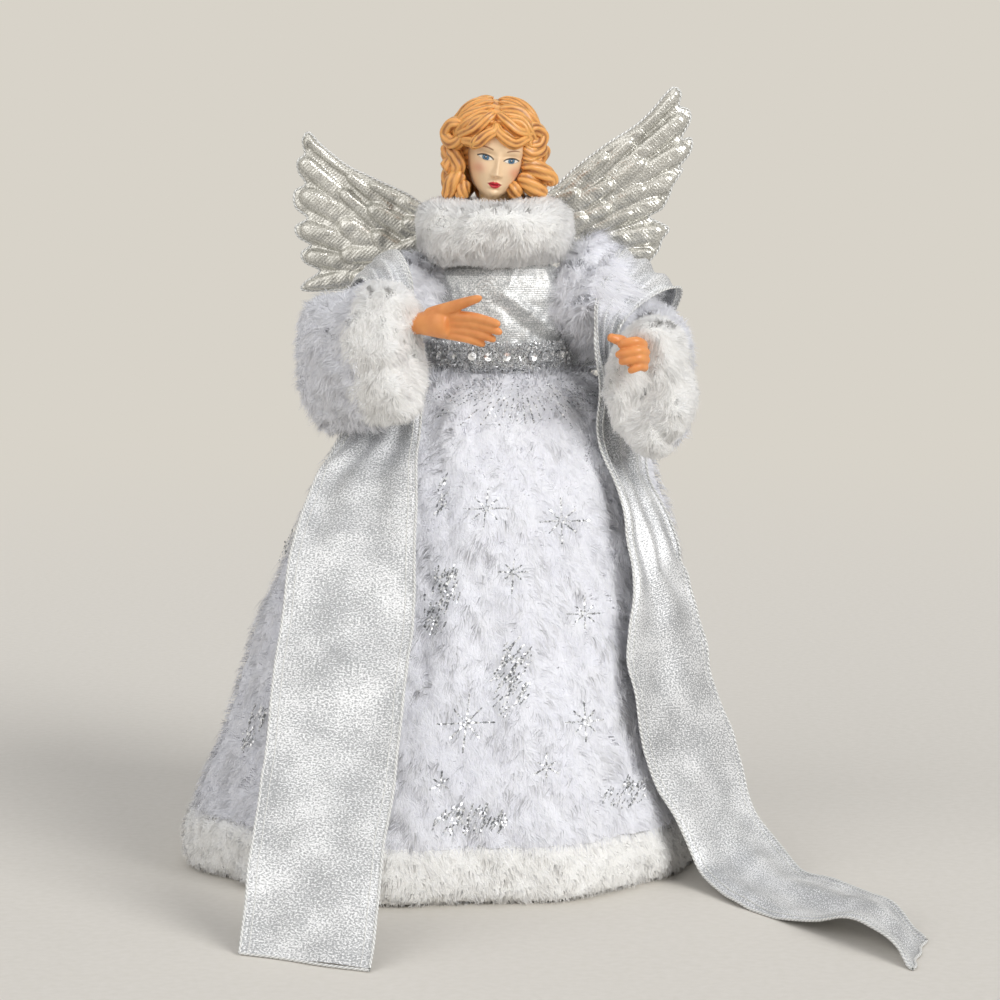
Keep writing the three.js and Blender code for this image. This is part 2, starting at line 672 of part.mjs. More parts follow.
function stole() {
  const place = ([x, y, z]) => {
    const reach = z > armStationShare ? ribbonArmReach : hemRadius;
    return vector(x * reach, y * reach, z * skirtTop);
  };
  const innerEdge = new THREE.CatmullRomCurve3(ribbonStationShares.map(([inner]) => place(inner)));
  const outerEdge = new THREE.CatmullRomCurve3(ribbonStationShares.map(([, outer]) => place(outer)));
  const depths = ribbonStationShares.map(([, , depth]) => vector(depth * ribbonWidth, 0, 0));
  const pleats = new THREE.CatmullRomCurve3(depths);
  const small = 1 / 1000;
  const bare = (across, along) => innerEdge.getPoint(along).lerp(outerEdge.getPoint(along), across);
  const facing = (across, along) => {
    const ahead = bare(across, Math.min(1, along + small)).sub(bare(across, Math.max(0, along - small)));
    return ahead.cross(outerEdge.getPoint(along).sub(innerEdge.getPoint(along))).normalize();
  };
  const sheet = new THREE.BoxGeometry(1, 1, 1, 6, 1, 70);
  reshape(sheet, (p) => {
    const across = p.x + 1 / 2;
    const along = p.z + 1 / 2;
    const pleat = pleats.getPoint(along).x * Math.sin(2 * Math.PI * pleatCount * across);
    p.copy(bare(across, along).addScaledVector(facing(across, along), pleat + p.y * ribbonThickness));
  });
  return solid(sheet);
}

// Wings: padded feathers joined into one pad, a wire in the leading edge, and the tab they hang on

// Feathers as shares of span and rise: root [x, z], tip [x, z] and width, from the hinge.
const featherShares = [
  [[0.58, 0.52], [0.94, 1], 0.075],
  [[0.55, 0.42], [0.99, 0.8], 0.075],
  [[0.52, 0.32], [1, 0.53], 0.08],
  [[0.48, 0.22], [0.965, 0.28], 0.08],
  [[0.44, 0.12], [0.9, 0.08], 0.08],
  [[0.4, 0.02], [0.87, -0.17], 0.08],
  [[0.34, -0.06], [0.81, -0.4], 0.08],
  [[0.27, -0.12], [0.7, -0.58], 0.08],
  [[0.2, -0.14], [0.54, -0.6], 0.08],
  [[0.12, -0.14], [0.36, -0.52], 0.08],
];

function feather(rootShare, tipShare, widthShare) {
  const root = vector(rootShare[0] * wingSpan, 0, rootShare[1] * wingRise);
  const tip = vector(tipShare[0] * wingSpan, 0, tipShare[1] * wingRise);
  const length = root.distanceTo(tip);
  const width = widthShare * wingSpan;
  const profile = [
    [0, 0],
    [width * 0.8, length * 0.1],
    [width, length * 0.55],
    [width * 0.72, length * 0.9],
    [0, length],
  ];
  const flat = turned(profile, 8, (p) => p.setX(p.x * (wingPadHalf / width)));
  return laid(flat, root, tip.clone().sub(root));
}

const leadingEdgeShares = [[0, 0], [0.32, 0.2], [0.62, 0.58], [0.86, 0.9]];
const wingEdgeRadius = wingPadHalf * 0.95;

function wingSolids() {
  const edge = leadingEdgeShares.map(([x, z]) => vector(x * wingSpan, 0, z * wingRise));
  const rolls = [];
  const wires = [];
  const bores = [];
  for (let i = 1; i < edge.length; i += 1) {
    rolls.push(limb(edge[i - 1], edge[i], wingEdgeRadius, wingEdgeRadius * 0.9, 8));
    if (i < edge.length - 1) {
      wires.push(limb(edge[i - 1], edge[i], wingWireRadius, wingWireRadius, 6));
      bores.push(limb(edge[i - 1], edge[i], wingWireRadius + seam, wingWireRadius + seam, 6));
    }
  }
  const mouth = rod(vector(-overrun, 0, 0), edge[0], wingWireRadius + seam, 6);
  const panelHalf = vector(wingSpan * 0.3, wingPadHalf * 0.8, wingRise * 0.34);
  const panel = ball(vector(wingSpan * 0.32, 0, -wingRise * 0.02), panelHalf, 12);
  const feathers = featherShares.map(([root, tip, width]) => feather(root, tip, width));
  const pad = joined([...rolls, panel, ...feathers]).subtract(joined([...bores, mouth]));
  return { pad, wire: joined(wires) };
}

// The left wing is the mirror image, drooped, with its lower feathers spread wider.
const leftSpreadShare = 0.5;
const mirrored = (piece) => solid(reshape(geometryOf(piece), (p) => {
  const droopedX = p.x * Math.cos(leftWingDroop) + p.z * Math.sin(leftWingDroop);
  const droopedZ = p.z * Math.cos(leftWingDroop) - p.x * Math.sin(leftWingDroop);
  const lowShare = THREE.MathUtils.clamp(-droopedZ / wingDrop, 0, 1);
  p.x = -droopedX * (1 + leftSpreadShare * lowShare);
  p.z = droopedZ;
}));

// A bent strip of card from the back of the bodice up behind the collar.
function wingTab() {
  const front = torsoHalfDepth + seam + bodiceCloth + seam;
  const back = wingHingeBack - wingEdgeRadius - seam;
  const foot = bodiceTop - tabDrop;
  const outline = new THREE.Shape([
    new THREE.Vector2(front, foot),
    new THREE.Vector2(front + tabThickness, foot),
    new THREE.Vector2(back, collarFoot),
    new THREE.Vector2(back, wingRootHeight + wingPadHalf * 2),
    new THREE.Vector2(back - tabThickness, wingRootHeight + wingPadHalf * 2),
    new THREE.Vector2(back - tabThickness, collarFoot),
    new THREE.Vector2(front, bodiceTop - shoulderDrop),
  ]);
  const width = wingHingeOut * 2 - runningGap;
  const strip = new THREE.ExtrudeGeometry(outline, { depth: width, bevelEnabled: false });
  strip.translate(0, 0, -width / 2);
  strip.applyMatrix4(new THREE.Matrix4().makeBasis(vector(0, 1, 0), vector(0, 0, 1), vector(1, 0, 0)));
  return solid(strip).subtract(collarRing(seam)).subtract(torsoShape(seam + bodiceCloth + seam, torsoFoot));
}

// Assembly

const topper = new THREE.Group();
addPiece(topper, 'support_cone', coneShell(), card);
addPiece(topper, 'torso_form', torsoForm(), moulding);
addPiece(topper, 'neck_peg', neckPeg(), moulding);
addPiece(topper, 'bodice', bodice(), lame);
addPiece(topper, 'belt', belt(), tinsel);
addPiece(topper, 'skirt', skirt(), longPlush);
addPiece(topper, 'hem_band', hemBand(), shortPlush);
addPiece(topper, 'collar', collarRing(0), shortPlush);
addPiece(topper, 'arm_wire', armWire(), wire);
addPiece(topper, 'stole', stole(), lame);
addPiece(topper, 'wing_tab', wingTab(), card);

const headGroup = new THREE.Group();
headGroup.position.copy(neckAt(headFoot));
topper.add(headGroup);
addPiece(headGroup, 'head', head(), skin);

const arms = [
  {
    side: 'left',
    shoulder: leftShoulder,
    elbow: leftElbow,
    wrist: leftWrist,
    puffRadius: leftPuffRadius,
    endRadius: leftSleeveEndRadius,
    drop: leftCuffDrop,
    shift: leftCuffShift,
    hand: openHand,
  },
  {
    side: 'right',
    shoulder: rightShoulder,
    elbow: rightElbow,
    wrist: rightWrist,
    puffRadius: rightPuffRadius,
    endRadius: rightSleeveEndRadius,
    drop: rightCuffDrop,
    shift: rightCuffShift,
    hand: curledHand,
  },
];

for (const { side, shoulder, elbow, wrist, puffRadius, endRadius, drop, shift, hand } of arms) {
  addPiece(topper, `upper_sleeve_${side}`, upperSleeve(shoulder, elbow, wrist, puffRadius, endRadius), longPlush);
  const reach = elbow.distanceTo(wrist);
  const bellLength = reach - cuffLength;
  const forearm = new THREE.Group();
  forearm.position.copy(elbow);
  forearm.quaternion.setFromRotationMatrix(turnTo(wrist.clone().sub(elbow)));
  topper.add(forearm);
  const bell = bellSleeve(bellLength, drop, shift);
  const bellAndSlack = side === 'left' ? joined([bell, elbowLobe(elbow, wrist)]) : bell;
  addPiece(forearm, `bell_sleeve_${side}`, bellAndSlack, longPlush);
  addPiece(forearm, `cuff_${side}`, cuff(bellLength, drop, shift), shortPlush);
  addPiece(forearm, `forearm_wire_${side}`, forearmWire(reach), wire);
  addPiece(forearm, `hand_${side}`, hand(reach), skin);
}

const { pad, wire: wingWire } = wingSolids();
const wings = [
  { side: 'left', out: -wingHingeOut, sweep: -leftWingSweep, shaped: mirrored },
  { side: 'right', out: wingHingeOut, sweep: rightWingSweep, shaped: (piece) => piece },
];
for (const { side, out, sweep, shaped } of wings) {
  const wing = new THREE.Group();
  wing.position.set(out, wingHingeBack, wingRootHeight);
  wing.rotation.z = sweep;
  topper.add(wing);
  addPiece(wing, `wing_${side}`, shaped(pad), lame);
  addPiece(wing, `wing_wire_${side}`, shaped(wingWire), wire);
}

export default topper;
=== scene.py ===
"""Angel tree topper: the visible pieces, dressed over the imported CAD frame.

Tables and sizes are in millimetres in the row frame: +Z up, the front faces -Y, and left and
right are as seen from the front. Meshes are made in metres.
"""

import math

import bpy
import numpy as np
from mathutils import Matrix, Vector
from mathutils.geometry import delaunay_2d_cdt


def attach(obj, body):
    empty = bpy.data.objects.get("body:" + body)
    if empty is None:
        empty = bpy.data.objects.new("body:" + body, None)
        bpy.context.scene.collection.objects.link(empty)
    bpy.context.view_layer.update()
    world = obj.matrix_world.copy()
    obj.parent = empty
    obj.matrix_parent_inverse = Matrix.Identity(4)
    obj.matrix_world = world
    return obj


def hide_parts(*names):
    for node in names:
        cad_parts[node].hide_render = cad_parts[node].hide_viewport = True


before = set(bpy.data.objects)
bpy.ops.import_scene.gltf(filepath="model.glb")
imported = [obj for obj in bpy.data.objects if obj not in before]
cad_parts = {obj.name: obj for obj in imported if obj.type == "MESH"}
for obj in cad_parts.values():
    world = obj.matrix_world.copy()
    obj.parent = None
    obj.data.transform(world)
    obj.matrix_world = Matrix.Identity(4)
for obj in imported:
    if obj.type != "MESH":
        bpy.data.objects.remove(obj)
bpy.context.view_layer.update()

MM = 0.001
TAU = 2 * math.pi


# Small mathematics


def mix(a, b, share):
    return a + (b - a) * share


def clamp(value, low=0.0, high=1.0):
    return np.minimum(np.maximum(value, low), high)


def smooth(value, low, high):
    """0 below low, 1 above high, with an even slope that eases at both ends."""
    share = clamp((value - low) / (high - low))
    return share * share * (3 - 2 * share)


def unit(vectors):
    return vectors / np.maximum(np.linalg.norm(vectors, axis=-1, keepdims=True), 1e-12)


def lumps(points, size, seed, waves=28):
    """A soft random field: the sum of cosine waves in random directions with wavelengths near
    size, scaled to a spread of about 1."""
    rng = np.random.default_rng(seed)
    directions = unit(rng.normal(size=(waves, 3)))
    numbers = TAU / (size * rng.uniform(0.7, 1.5, waves))
    phases = rng.uniform(0, TAU, waves)
    total = np.zeros(points.shape[:-1])
    for direction, number, phase in zip(directions, numbers, phases):
        total += np.cos(points @ direction * number + phase)
    return total * math.sqrt(2 / waves)


def catmull(points, shares):
    """Points on a smooth line through the given points, even in point number, at shares 0 to 1."""
    p = np.asarray(points, float)
    ends = np.vstack([2 * p[0] - p[1], p, 2 * p[-1] - p[-2]])
    at = clamp(np.asarray(shares)) * (len(p) - 1)
    i = np.minimum(at.astype(int), len(p) - 2)
    t = (at - i).reshape(-1, *[1] * (p.ndim - 1))
    a, b, c, d = ends[i], ends[i + 1], ends[i + 2], ends[i + 3]
    return 0.5 * (
        2 * b + (c - a) * t + (2 * a - 5 * b + 4 * c - d) * t**2 + (3 * b - a - 3 * c + d) * t**3
    )


# Colour and nodes


def srgb(code):
    """A linear RGBA colour from an sRGB hex code."""
    values = [int(code[i : i + 2], 16) / 255 for i in (0, 2, 4)]
    return (*[v / 12.92 if v <= 0.04045 else ((v + 0.055) / 1.055) ** 2.4 for v in values], 1)


def new_material(name, roughness, metallic=0.0, **sockets):
    made = bpy.data.materials.new(name)
    made.use_nodes = True
    shader = made.node_tree.nodes["Principled BSDF"]
    shader.inputs["Roughness"].default_value = roughness
    shader.inputs["Metallic"].default_value = metallic
    for socket, value in sockets.items():
        shader.inputs[socket.replace("_", " ")].default_value = value
    return made, made.node_tree, shader


def add(tree, kind, inputs=(), stops=(), **settings):
    """A node with its settings and its two colour stops, (place, hex code), and with its inputs
    set from values or linked from sockets."""
    made = tree.nodes.new("ShaderNode" + kind)
    for key, value in settings.items():
        setattr(made, key, value)
    for key, value in dict(inputs).items():
        if isinstance(value, bpy.types.NodeSocket):
            tree.links.new(value, made.inputs[key])
        else:
            made.inputs[key].default_value = value
    for number, (place, code) in enumerate(stops):
        made.color_ramp.elements[number].position = place
        made.color_ramp.elements[number].color = srgb(code)
    return made


def cover(tree, shader, colour, height=None, distance=0.0, strength=1.0):
    """Gives a shader its colour, and its relief from a height, a distance and a strength."""
    tree.links.new(colour, shader.inputs["Base Color"])
    if height is not None:
        raised = add(tree, "Bump", {"Height": height, "Distance": distance, "Strength": strength})
        tree.links.new(raised.outputs["Normal"], shader.inputs["Normal"])


def mottled(name, roughness, metallic, scale, detail, stops, stretch=(1, 1, 1), relief=None):
    """A material whose colour runs between two stops with a fine noise. relief is the distance
    and the strength with which the noise raises it."""
    made, tree, shader = new_material(name, roughness, metallic)
    place = add(tree, "TexCoord").outputs["Object"]
    place = add(tree, "Mapping", {"Vector": place, "Scale": stretch}).outputs["Vector"]
    fine = add(tree, "TexNoise", {"Vector": place, "Scale": scale, "Detail": detail}).outputs["Fac"]
    shade = add(tree, "ValToRGB", {"Fac": fine}, stops).outputs["Color"]
    cover(tree, shader, shade, fine if relief else None, *(relief or ()))
    return made


# Meshes


def mesh_object(name, points, faces, material, uv=None, attribute=None, flat=False):
    """An object from points in millimetres and equal-sided faces. uv has a row for each point."""
    mesh = bpy.data.meshes.new(name)
    points = np.asarray(points, np.float32)
    faces = np.asarray(faces, np.int32)
    sides = faces.shape[1]
    mesh.vertices.add(len(points))
    mesh.vertices.foreach_set("co", (points * MM).ravel())
    mesh.loops.add(faces.size)
    mesh.loops.foreach_set("vertex_index", faces.ravel())
    mesh.polygons.add(len(faces))
    mesh.polygons.foreach_set("loop_start", np.arange(0, faces.size, sides, dtype=np.int32))
    mesh.polygons.foreach_set("use_smooth", np.full(len(faces), not flat))
    mesh.update(calc_edges=True)
    if uv is not None:
        layer = mesh.uv_layers.new(name="UV")
        layer.data.foreach_set("uv", np.asarray(uv, np.float32)[faces.ravel()].ravel())
    for key, values in (attribute or {}).items():
        layer = mesh.attributes.new(key, "FLOAT", "POINT")
        layer.data.foreach_set("value", np.asarray(values, np.float32))
    mesh.materials.append(material)
    made = bpy.data.objects.new(name, mesh)
    bpy.context.scene.collection.objects.link(made)
    return made


def grid_faces(rows, columns, close_rows=False, close_columns=False):
    """Quads between the points of a rows by columns grid, numbered along the columns."""
    i = np.arange(rows if close_rows else rows - 1)
    j = np.arange(columns if close_columns else columns - 1)
    i, j = np.meshgrid(i, j, indexing="ij")
    k, m = (i + 1) % rows, (j + 1) % columns
    corners = [i * columns + j, i * columns + m, k * columns + m, k * columns + j]
    return np.stack(corners, -1).reshape(-1, 4)


def round_grid(rows, columns):
    """A grid of the rows' values by even angles of a whole turn. A number of rows stands for as
    many even angles too."""
    if isinstance(rows, int):
        rows = np.linspace(0, TAU, rows, endpoint=False)
    return np.meshgrid(rows, np.linspace(0, TAU, columns, endpoint=False), indexing="ij")


def point_normals(points, faces):
    """A unit normal at each point: the sum of its faces' area normals."""
    quads = points[faces]
    crossed = np.cross(quads[:, 2] - quads[:, 0], quads[:, -1] - quads[:, 1])
    total = np.zeros_like(points)
    for side in range(faces.shape[1]):
        np.add.at(total, faces[:, side], crossed)
    return unit(total)


def frames(line):
    """Unit vectors ahead, to the side and up at each point of a line, turned as little as
    possible from one point to the next."""
    ahead = unit(np.gradient(line, axis=0))
    seed = np.eye(3)[np.argmin(np.abs(ahead[0]))]
    side = [np.cross(ahead[0], seed)]
    for step in ahead[1:]:
        side.append(side[-1] - step * (side[-1] @ step))
    side = unit(np.array(side))
    return ahead, side, np.cross(ahead, side)


def sausage(points, radii, steps=32, sides=12, round_share=0.12, flat=1.0, ridges=0, twist=0.0):
    """A closed limb with round ends through some points: circles round the smooth line, with
    radii interpolated between those given. Ridges run along it as strands and turn by twist."""
    shares = (1 - np.cos(np.linspace(0, math.pi, steps))) / 2
    line = catmull(points, shares)
    radius = catmull(np.atleast_2d(radii).T, shares)[:, 0]
    near = np.minimum(shares, 1 - shares) / round_share
    radius = radius * np.sqrt(np.maximum(1 - (1 - clamp(near)) ** 2, 1e-3))
    _, side, up = frames(line)
    angle = np.arange(sides) / sides * TAU
    ridge = 1 + 0.13 * np.cos(ridges * angle + twist * shares[:, None]) * (ridges > 0)
    ring = side[:, None] * np.cos(angle)[:, None] + up[:, None] * np.sin(angle)[:, None] * flat
    points = line[:, None] + ring * (radius[:, None] * ridge)[..., None]
    ends = np.stack([line[0], line[-1]])
    body = grid_faces(steps, sides, close_columns=True)
    caps = []
    for row, pole in ((0, steps * sides), (steps - 1, steps * sides + 1)):
        j = row * sides + np.arange(sides)
        k = row * sides + (np.arange(sides) + 1) % sides
        first, second = (k, j) if row == 0 else (j, k)
        caps.append(np.stack([first, second, np.full(sides, pole), np.full(sides, pole)], -1))
    groove = np.broadcast_to((ridge - 1) / 0.13, (steps, sides)).reshape(-1)
    return (
        np.vstack([points.reshape(-1, 3), ends]),
        np.vstack([body, *caps]),
        np.append(groove, [0, 0]),
    )


def combine(parts):
    """Points, faces and other rows of several pieces as one piece."""
    starts = np.cumsum([0] + [len(part[0]) for part in parts[:-1]])
    faces = np.vstack([part[1] + start for part, start in zip(parts, starts)])
    rest = [np.concatenate([part[k] for part in parts]) for k in range(2, len(parts[0]))]
    return (np.vstack([part[0] for part in parts]), faces, *rest)


def triangles(faces):
    """Quads as triangles, without those that have no area at a pole."""
    split = np.vstack([faces[:, [0, 1, 2]], faces[:, [0, 2, 3]]])
    real = np.all(split != np.roll(split, -1, 1), axis=1)
    return split[real]


def remeshed(name, points, faces, voxel, smoothing, material):
    """A skin of small even faces over overlapping solids, relaxed a little."""
    rough = mesh_object(name + "_rough", points, triangles(faces), material)
    remesh = rough.modifiers.new("skin", "REMESH")
    remesh.mode, remesh.voxel_size = "VOXEL", voxel * MM
    relax = rough.modifiers.new("relax", "SMOOTH")
    relax.factor, relax.iterations = 0.5, smoothing
    bpy.context.view_layer.update()
    evaluated = rough.evaluated_get(bpy.context.evaluated_depsgraph_get())
    mesh = bpy.data.meshes.new_from_object(evaluated)
    bpy.data.objects.remove(rough)
    made = bpy.data.objects.new(name, mesh)
    mesh.name = name
    mesh.shade_smooth()
    mesh.materials.clear()
    mesh.materials.append(material)
    bpy.context.scene.collection.objects.link(made)
    return made


def ride(piece, body, *nodes, slot=None):
    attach(piece, body)
    if nodes:
        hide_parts(*nodes)
    return piece


ABOVE_FLOOR = 0.3


def pile(name, points, faces, count, length, width, material, seed, lean=0.6, tuft=6.0,
         keep=None, down=(0, 0, -1), clumped=0.1, stray=0.13, ruffle=0.6, twist=0.12):
    """Blades of pile on a surface of quads. Each blade is a narrow strip of two quads' length
    with a pointed end. Its root is a random place on a face, picked by area. It starts along the
    face's normal and bends towards down and towards a soft random field, so that near blades
    lean together in tufts. Its points take the surface's normal, bent a little with the blade,
    and stay above the floor."""
    rng = np.random.default_rng(seed)
    normals = point_normals(points, faces)
    if keep is not None:
        faces = faces[keep(points[faces].mean(1))]
    corners = points[faces]
    areas = np.linalg.norm(
        np.cross(corners[:, 2] - corners[:, 0], corners[:, 3] - corners[:, 1]), axis=1
    )
    chosen = rng.choice(len(faces), count, p=areas / areas.sum())
    u, v = rng.random((2, count, 1))
    shares = [(1 - u) * (1 - v), u * (1 - v), u * v, (1 - u) * v]
    quads = faces[chosen]
    root = sum(points[quads[:, k]] * share for k, share in enumerate(shares))
    normal = unit(sum(normals[quads[:, k]] * share for k, share in enumerate(shares)))
    field = np.stack([lumps(root, tuft, seed + k) for k in range(3)], -1)
    wander = np.stack([lumps(root, tuft * 4, seed + 3 + k) for k in range(3)], -1)
    fine = rng.normal(size=(count, 3))
    soft = field * 0.26 + wander * 0.2
    soft -= normal * (soft * normal).sum(1, keepdims=True)
    along = np.asarray(down, float) * lean + soft + fine * stray
    along -= normal * (along * normal).sum(1, keepdims=True)
    clump = 1 + clumped * lumps(root, tuft * 0.7, seed + 9)[:, None]
    long = length * clump * (0.7 + 0.65 * rng.random((count, 1)) ** 2.5)
    middle = root + (normal * 0.62 + along * 0.35) * long * 0.55
    tip = middle + (normal * (0.62 - 0.45 * lean) + along * 1.0) * long * 0.55
    across = unit(np.cross(tip - root, normal + fine * twist))
    half = width * rng.uniform(0.7, 1.3, (count, 1)) / 2
    strip = np.stack(
        [
            root - across * half,
            root + across * half,
            middle + across * half * 0.8,
            middle - across * half * 0.8,
            tip,
        ],
        1,
    )
    strip[..., 2] = np.maximum(strip[..., 2], ABOVE_FLOOR)
    base = np.arange(count)[:, None] * 5
    blades = np.stack([base + [0, 1, 2], base + [0, 2, 3], base + [3, 2, 4]], 1)
    made = mesh_object(name, strip.reshape(-1, 3), blades.reshape(-1, 3), material[0])
    made.data.materials.append(material[1])
    shaded = np.repeat(rng.random(count) < 0.3, 3).astype(np.int32)
    made.data.polygons.foreach_set("material_index", shaded)
    made.visible_shadow = False
    shading = unit(normal + along * 0.25 + soft * ruffle + fine * 0.24)
    made.data.normals_split_custom_set_from_vertices(np.repeat(shading, 5, 0))
    return made


# Camera, at the photograph's angle

camera = bpy.data.objects.new("camera", bpy.data.cameras.new("camera"))
camera.location = (0, -1.6, 0.352)
camera.rotation_euler = (math.radians(84), 0, 0)
camera.data.sensor_width = 36
camera.data.lens = 110.2
camera.data.clip_start = 0.05
camera.data.clip_end = 20
bpy.context.scene.collection.objects.link(camera)
bpy.context.scene.camera = camera
bpy.context.scene.view_settings.view_transform = "Standard"


# Floor: a wide pale sheet, under a pale even sky


BACKDROP = "D8D3C9"


def floor_material():
    """A pale matt floor that fades into the backdrop's colour away from the object."""
    made = mottled("pale_floor", 0.9, 0, 220, 3, [(0.3, "DDD8CE"), (0.7, "E2DDD4")])
    tree = made.node_tree
    place = add(tree, "TexCoord").outputs["Object"]
    away = add(tree, "VectorMath", {0: place}, operation="LENGTH").outputs["Value"]
    far = add(tree, "MapRange", {"Value": away, "From Min": 0.45, "From Max": 2.6},
              interpolation_type="SMOOTHSTEP").outputs["Result"]
    haze = add(tree, "Emission", {"Color": srgb(BACKDROP)}).outputs["Emission"]
    near = tree.nodes["Principled BSDF"].outputs["BSDF"]
    both = add(tree, "MixShader", {0: far, 1: near, 2: haze})
    output = next(node for node in tree.nodes if node.type == "OUTPUT_MATERIAL")
    tree.links.new(both.outputs["Shader"], output.inputs["Surface"])
    return made


corners = np.array([(-1, -1, 0), (1, -1, 0), (1, 1, 0), (-1, 1, 0)]) * 30000.0
mesh_object("floor", corners, [(0, 1, 2, 3)], floor_material())


def lamp(name, towards, angle, strength):
    """A far soft light that shines along a direction and spreads over an angle in degrees."""
    data = bpy.data.lights.new(name, "SUN")
    data.angle = math.radians(angle)
    data.energy = strength
    made = bpy.data.objects.new(name, data)
    made.rotation_euler = Vector(towards).to_track_quat("-Z", "Y").to_euler()
    bpy.context.scene.collection.objects.link(made)


lamp("key", (-0.65, 0.65, -0.52), 30, 1.85)
lamp("fill", (0.7, 0.7, -0.45), 60, 0.85)
lamp("top", (0.1, -0.2, -1), 50, 0.4)


def sky():
    """A soft even light, and a pale backdrop for what the camera and mirrors see."""
    world = bpy.data.worlds.new("world")
    world.use_nodes = True
    tree = world.node_tree
    light = tree.nodes["Background"]
    light.inputs["Color"].default_value = srgb("E6E8EE")
    light.inputs["Strength"].default_value = 0.42
    seen = add(tree, "Background", {"Color": srgb(BACKDROP), "Strength": 1.0})
    path = add(tree, "LightPath")
    either = add(tree, "Math", {0: path.outputs["Is Camera Ray"], 1: path.outputs["Is Glossy Ray"]},
                 operation="MAXIMUM")
    either = add(tree, "Math", {0: either.outputs["Value"],
                                1: path.outputs["Is Transmission Ray"]}, operation="MAXIMUM")
    both = add(tree, "MixShader", {0: either.outputs["Value"], 1: light.outputs["Background"],
                                   2: seen.outputs["Background"]})
    tree.links.new(both.outputs["Shader"], tree.nodes["World Output"].inputs["Surface"])
    bpy.context.scene.world = world


sky()


# Materials


def plush_ground(name, light, dark, streak):
    """The ground of a plush: matt fibre, mottled and streaked down the pile."""
    made, tree, shader = new_material(
        name, 0.95, Sheen_Weight=0.35, Sheen_Roughness=0.6, Specular_IOR_Level=0.2
    )
    place = add(tree, "TexCoord").outputs["Object"]
    drawn = add(tree, "Mapping", {"Vector": place, "Scale": (1, 1, 1 / streak)}).outputs["Vector"]
    strands = add(tree, "TexNoise", {"Vector": drawn, "Scale": 900, "Detail": 3,
                                     "Roughness": 0.6}).outputs["Fac"]
    patches = add(tree, "TexNoise", {"Vector": place, "Scale": 60, "Detail": 2}).outputs["Fac"]
    both = add(tree, "Math", {0: strands, 1: patches}, operation="ADD").outputs["Value"]
    half = add(tree, "Math", {0: both, 1: 0.5}, operation="MULTIPLY").outputs["Value"]
    shade = add(tree, "ValToRGB", {"Fac": half}, [(0.32, dark), (0.62, light)]).outputs["Color"]
    cover(tree, shader, shade, strands, 0.0012, 0.6)
    return made


def plush_fibre(name, code):
    """One fibre colour: polyester pile, matt with a soft edge glow."""
    made, _, shader = new_material(
        name, 0.8, Sheen_Weight=0.25, Sheen_Roughness=0.5, Specular_IOR_Level=0.25
    )
    shader.inputs["Base Color"].default_value = srgb(code)
    return made


gown_ground = plush_ground("gown_plush_ground", "F3F3F6", "E6E6EC", 5)
gown_fibre = [plush_fibre("gown_plush_fibre", "F2F2F5"), plush_fibre("gown_plush_shade", "E8E8EE")]
trim_ground = plush_ground("trim_plush_ground", "FAF9F6", "F1F0EC", 1)
trim_fibre = [plush_fibre("trim_plush_fibre", "FBFAF8"), plush_fibre("trim_plush_shade", "F5F3EF")]


# Skirt: spreads from an oval waist to a round hem that leans to one side, with soft folds

SKIRT_TOP, SKIRT_FOOT = 252.3, 30.3
HEM_RADIUS = 131
BASE_SHIFT = np.array([-29.0, -14.0])
WAIST_RADIUS = 33 * 0.93 + 0.3 + 3.5
SPREAD = 0.47


def skirt_points(angle, height, out=0.0):
    """Points on the skirt's middle surface, moved out by out. The radius runs from waist to hem
    with a power of the share of the drop, and cosine folds deepen towards the hem."""
    share = clamp((SKIRT_TOP - height) / (SKIRT_TOP - SKIRT_FOOT))
    folds = (
        np.cos(7 * angle + 1) * 0.5 + np.cos(11 * angle) * 0.3 + np.cos(4 * angle + 2) * 0.2
    )
    grown = share**SPREAD
    radius = mix(WAIST_RADIUS, HEM_RADIUS, grown) + 6 * grown * folds + out
    depth = mix(25 / 33, 1, np.sqrt(share))
    x = np.cos(angle) * radius + BASE_SHIFT[0] * share
    y = np.sin(angle) * radius * depth + BASE_SHIFT[1] * share
    return np.stack([x, y, np.broadcast_to(height, x.shape)], -1)


# Deep folds: angle from the front at waist and hem and half width, as shares of a half turn, then
# depth as a share of the wall, and the shares of the drop where the fold opens and closes.
DEEP_FOLDS = [
    [0.125, 0.146, 0.038, 1.15, 0.04, 0.9],
    [-0.105, -0.055, 0.036, 0.6, 0.05, 0.85],
    [0.03, 0.06, 0.06, 0.35, 0.45, 0.9],
    [0.36, 0.35, 0.05, 0.75, 0.05, 0.9],
    [0.6, 0.59, 0.055, 0.8, 0.05, 0.9],
    [0.82, 0.83, 0.05, 0.85, 0.05, 0.9],
    [-0.96, -0.95, 0.04, 0.55, 0.05, 0.9],
    [-0.73, -0.7, 0.05, 0.85, 0.05, 0.9],
    [-0.54, -0.51, 0.05, 0.6, 0.05, 0.9],
    [-0.3, -0.27, 0.05, 0.7, 0.05, 0.9],
]


def skirt_folds(angle, height):
    """How far the cloth stands out from the middle surface: small gathers at the belt, and deep
    folds with a fuller lip on one side. The left side hangs a little closer in."""
    share = clamp((SKIRT_TOP - height) / (SKIRT_TOP - SKIRT_FOOT))
    front = angle / math.pi + 0.5
    total = np.cos(17 * angle + 1.5 * np.sin(3 * angle)) * 1.2 * (1 - smooth(share, 0.05, 0.45))
    for waist, hem, width, depth, opens, closes in DEEP_FOLDS:
        offset = (front - mix(waist, hem, share) + 5) % 2 - 1
        opened = smooth(share, opens, opens + 0.2) * (1 - smooth(share, closes - 0.3, closes))
        lip = 2.2 * np.exp(-(((offset + 1.7 * width) / width) ** 2))
        total += opened * (lip * depth - 7 * depth * np.exp(-((offset / width) ** 2)))
    closer = 2.5 + 3.5 * np.exp(-(((share - 0.78) / 0.22) ** 2))
    return total - closer * clamp(-np.cos(angle)) * smooth(share, 0.1, 0.4)


SKIRT_ROWS = 150


